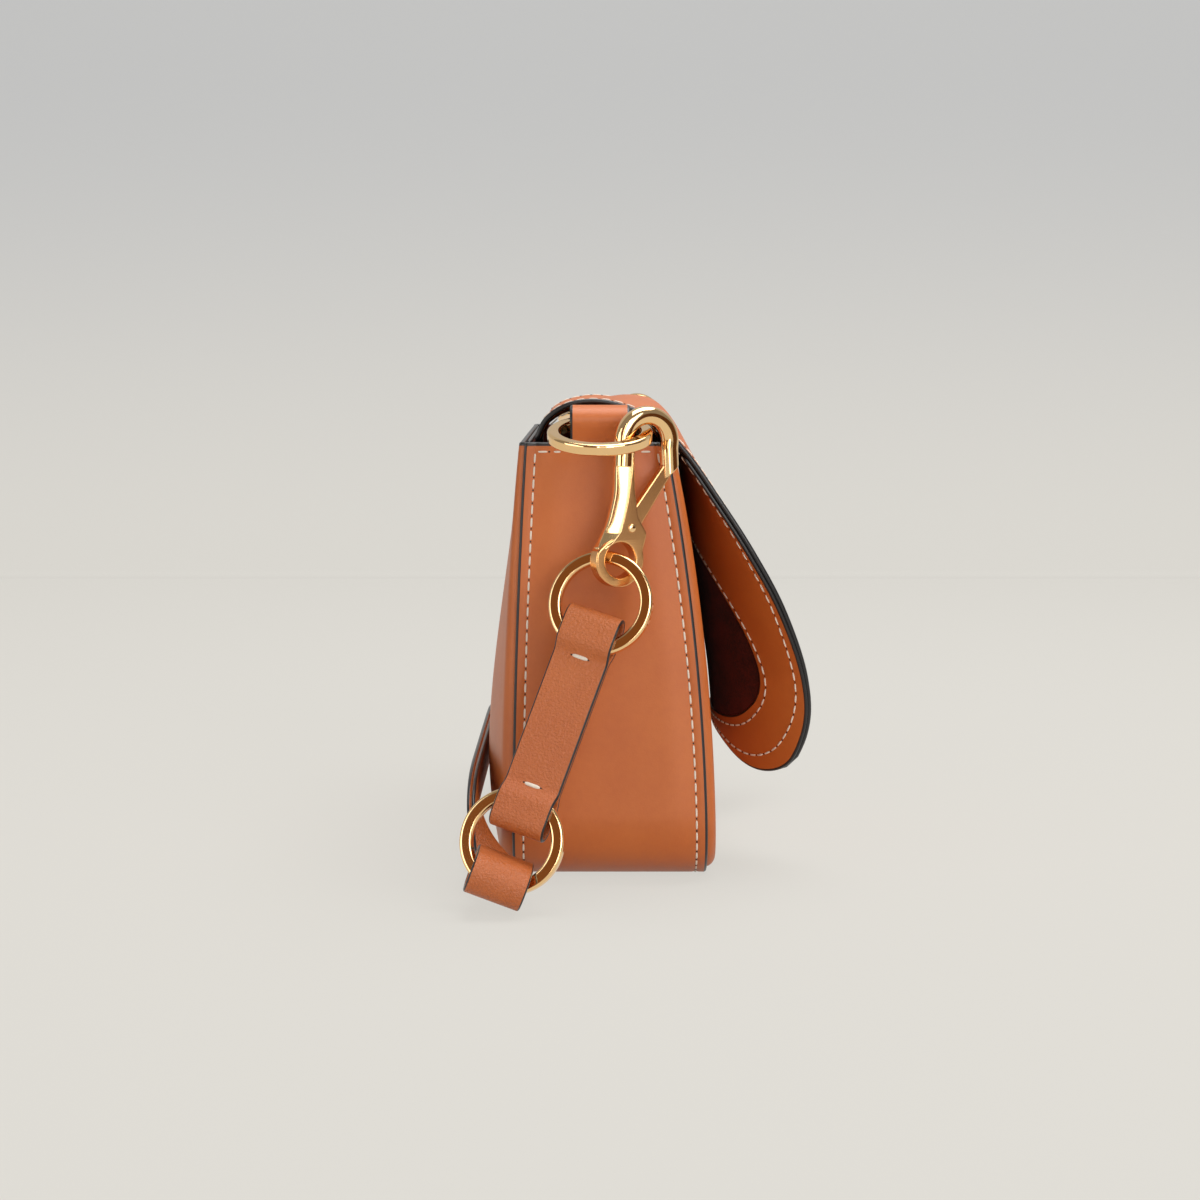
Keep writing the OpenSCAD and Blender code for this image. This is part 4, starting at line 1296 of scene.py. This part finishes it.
def strip_seams():
    """Two long seams round the bag, and a short one on both sides of each tab."""
    seams = []
    top_share = top_stitch / (bag_h - corner_r) * side_share
    q = np.linspace(top_share, 1, 700)
    for sign in (-1.0, 1.0):
        x, z = outline(q, 0)
        outer_x, outer_z = outline(q, -1 * mm)
        out = unit(points_of((outer_x - x) * -sign, 0, outer_z - z))
        for y in (seam_y(-1, z) + stitch_in, seam_y(1, z) - stitch_in):
            seams.append(seam(strip_point(q, sign, y), out))
        for side in (1, -1):
            start = seam_y(side, bag_h - top_stitch) - side * stitch_in
            end = tab_y + side * (tab_w / 2 + seam_to_tab)
            line = strip_point(np.full(60, top_share), sign, np.linspace(start, end, 60))
            seams.append(seam(line, np.tile([sign, 0.0, 0.0], (60, 1))))
    return joined(*seams)


def mouth_seam(side):
    """The seam under the upper edge of the front or back panel."""
    x = np.linspace(mouth_seam_in - half_l, half_l - mouth_seam_in, 300)
    z = np.full(300, bag_h - mouth_seam_down)
    return seam(points_of(x, face_y(side, x, z), z), np.tile([0.0, float(side), 0.02], (300, 1)))


piece("side_strip_stitches", strip_seams(), white_thread, "body")
piece("mouth_stitches", joined(mouth_seam(1), mouth_seam(-1)), white_thread, "body")


# %% Seams of the flap
def flap_seam(flat, depth, sign):
    """A seam along a line of the flat pattern, on the outer face or, with sign -1, under it."""
    line = flat_to_skin(flat, depth)
    below = flat_to_skin(flat, depth + 1 * mm)
    return seam(line, sign * unit(line - below))


under = flap_t + facing_t
rim_seam_in, field_seam_out = 2.3 * mm, 2 * mm
rim_seam = resample(along_rim(rim_seam_in), 900)
turn = np.linspace(0, 2 * np.pi, 700)[:, None]
round_field = np.hstack([np.sin(turn), np.cos(turn)])
field_seam = resample(field_middle + round_field * oval(round_field, field_seam_out), 700)
piece("flap_stitches", joined(flap_seam(rim_seam, 0, 1), flap_seam(rim_seam, under, -1),
                              flap_seam(field_seam, under, -1)), white_thread, "flap")

# %% Bar stitches of the straps
bar_w, bar_reach = 6.6 * mm, 3.5 * mm
bar_thread_w, bar_thread_h, bar_hole_r = 1.5 * mm, 0.6 * mm, 0.6 * mm
bar_off = strap_t + 0.02 * mm
bar_solid_half = 0.7 * mm
bar = joined(bead(bar_w, bar_thread_w, bar_thread_h), hole_shade(bar_hole_r, hole_h, bar_reach),
             hole_shade(bar_hole_r, hole_h, -bar_reach))


def four_bars(near, far):
    """Where the bars lie along and off a strap: at two places, on both of its faces."""
    return np.array([[along, side * bar_off] for along in (near, far) for side in (-1, 1)])


reach = link_length / 2 - bar_stitch_from_end
bars = four_bars(-reach, reach)
link_bars = laid(bar, link_middle - bars[:, :1] * down + bars[:, 1:] * face,
                 np.tile(across, (4, 1)), np.sign(bars[:, 1:]) * face)
for name, mirrored in both_ends:
    piece(f"{name}_link_bar_stitches", link_bars, white_thread, f"{name}_link",
          [f"{name}_link_stitches"], mirrored)

low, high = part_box("band_stitches")
bars = four_bars(low.x + bar_solid_half, high.x - bar_solid_half)
band_bars = laid(bar, on_band(bars), band_side(bars), np.sign(bars[:, 1:]) * band_out(bars))
piece("band_bar_stitches", band_bars, white_thread, "band", ["band_stitches"])

# %% [markdown]
# ## Pieces that keep their solid
# The base board, the magnets and the gate springs are plain shapes on the real bag as well, so
# their solids stay and only get a finish.

# %% Finishes for the kept solids
kept = {"base_board": fibre_board, "body_magnet": spring_steel, "flap_magnet": spring_steel,
        "left_gate_spring": spring_steel, "right_gate_spring": spring_steel}
for node, finish in kept.items():
    solid = frame["nodes"][node]
    solid.data.materials.clear()
    solid.data.materials.append(finish)
    print(f"{node} keeps its solid, in {finish.name}")

# %% [markdown]
# ## The studio
# The bag stands on a pale sweep: a floor that curves up into a wall, with painted shade that darkens
# it up the wall. To the camera and in the gold the sweep shows mostly that painted colour, and the
# rest is real shading, which keeps the shadow.
# Three soft lamps light it, from above, from the front and from the back's side. A polished ring
# shows what stands around it, so glowing cards stand behind the camera: white ones and brown ones,
# with the edges between them where the photographed metal turns from bright to dark. The camera
# doesn't see them, and only one of them also lights the leather.

# %% Floor and wall
wall_x, wall_bend, wall_top = 1.1, 0.5, 4.0
sweep_reach = 4
shaded_share = 0.13


def sweep_finish():
    """Pale paper, with painted shade that makes it a little darker up the wall. Seen directly,
    mirrored or through something it mostly glows in that colour, and to all other light it is
    plain matt paper."""
    f = Finish("pale_sweep")
    height = f.add("ShaderNodeSeparateXYZ", None, {0: f.place()}, output=2)
    # painted shade: the floor's tone fades to a darker grey up the wall
    paper_with_painted_shade = f.mix(f.between(height, -0.04, 0.52), tone(220, 217, 210), tone(197, 197, 196))
    matt = f.add("ShaderNodeBsdfDiffuse", None, {"Color": paper_with_painted_shade})
    glow = f.add("ShaderNodeEmission", None, {"Color": paper_with_painted_shade})
    even = f.add("ShaderNodeMixShader", None, {0: shaded_share, 1: glow, 2: matt})
    camera = f.add("ShaderNodeLightPath", output=0)
    glossy = f.add("ShaderNodeLightPath", output=3)
    through = f.add("ShaderNodeLightPath", output=6)
    seen = camera + glossy + through
    return f.close(f.add("ShaderNodeMixShader", None, {0: seen, 1: matt, 2: even}))


bend = np.linspace(0, np.pi / 2, 16)
floor_line = points_of(np.linspace(-sweep_reach, wall_x, 30), 0)
bend_line = points_of(wall_x + wall_bend * np.sin(bend), wall_bend - wall_bend * np.cos(bend))
side_view = np.vstack([floor_line, bend_line, [[wall_x + wall_bend, wall_top]]])
floor_grid = points_of(side_view[:, :1], np.linspace(-sweep_reach, sweep_reach, 9),
                       side_view[:, 1:])
floor_mesh = new_mesh("pale_sweep", floor_grid.reshape(-1, 3).tolist(),
                      quads_of(numbers(len(side_view), 9)).tolist(), sweep_finish())
floor_mesh.polygons.foreach_set("use_smooth", np.ones(len(floor_mesh.polygons), bool))
new_object("pale_sweep", floor_mesh)
print("sweep:", len(floor_mesh.polygons), "faces")


# %% Lamps
def aimed(holder, place, target):
    """A lamp or camera stood at its place and turned to look at the target."""
    holder.location = place
    line_of_sight = Vector(target) - Vector(place)
    holder.rotation_euler = line_of_sight.to_track_quat("-Z", "Y").to_euler()


def softbox(name, place, size, power):
    """A rectangular lamp aimed at the middle of the bag."""
    lamp = bpy.data.lights.new(name, "AREA")
    lamp.shape = "RECTANGLE"
    lamp.size, lamp.size_y = size
    lamp.energy = power
    aimed(new_object(name, lamp), place, (0, 0, 0.09))
    print(f"{name}: {power} W")


softbox("top_box", (0.1, -0.3, 1.45), (1.2, 1.2), 25)
softbox("front_box", (-1.5, -1.0, 0.8), (1.0, 1.0), 13)
softbox("back_side_box", (-1.0, 1.4, 0.7), (0.6, 1.1), 4)

# %% Cards for the metal to mirror
warm_white = (1, 0.98, 0.95, 1)
brown = (1, 0.42, 0.16, 1)


def card(name, start, end, heights, level, colour=warm_white, lights_all=False):
    """An upright glowing card between two places on the floor and two heights."""
    f = Finish(name)
    glow = f.add("ShaderNodeEmission", None, {"Color": colour, "Strength": level})
    low, high = heights
    corners = [(*start, low), (*end, low), (*end, high), (*start, high)]
    made = new_object(name, new_mesh(name, corners, [(0, 1, 2, 3)], f.close(glow)))
    made.visible_diffuse = lights_all
    made.visible_shadow = False
    made.visible_camera = False
    print(f"{name}: level {level}")


card("white_card", (-1.7, 0.10), (-1.7, -0.95), (0, 1.5), 1.1, lights_all=True)
card("white_strip", (-1.6, -0.35), (-1.6, -0.8), (0, 1.5), 5)
card("flank_card", (-1.68, 0.155), (-1.68, 0.04), (0.15, 1.5), 5)
card("brown_card", (-1.65, 1.0), (-1.65, 0.16), (0, 1.5), 0.2, brown)
card("left_card", (-1.4, 0.9), (-0.3, 0.9), (0, 0.6), 2.6)
card("side_card", (-0.9, -1.2), (0.1, -1.3), (0, 0.5), 0.1, brown)

# %% Light from all round
world = bpy.data.worlds.new("studio")
world.use_nodes = True
background = world.node_tree.nodes["Background"].inputs
background["Color"].default_value = (1.0, 0.985, 0.96, 1)
background["Strength"].default_value = 0.27
bpy.context.scene.world = world
bpy.context.scene.view_settings.view_transform = "Standard"
print("background strength", round(background["Strength"].default_value, 2))

# %% [markdown]
# ## The camera
# The photograph looks along the length of the bag, from a little above its mouth. Seen from 0.9 m
# the frame is 462 mm wide at the near end, which gives the lens.

# %% Camera
camera_back = 0.9
camera_height = 210.4 * mm
aim_height = 112.2 * mm
frame_width = 462 * mm
distance = np.hypot(camera_back, camera_height - aim_height)
photo_camera = bpy.data.cameras.new("photo_camera")
photo_camera.sensor_width = 36
photo_camera.lens = photo_camera.sensor_width * distance / frame_width
photo_camera.clip_start = 0.01
viewer = new_object("photo_camera", photo_camera)
aimed(viewer, (-half_l - camera_back, tab_y, camera_height), (-half_l, tab_y, aim_height))
bpy.context.scene.camera = viewer
print("lens", round(photo_camera.lens, 1), "mm")
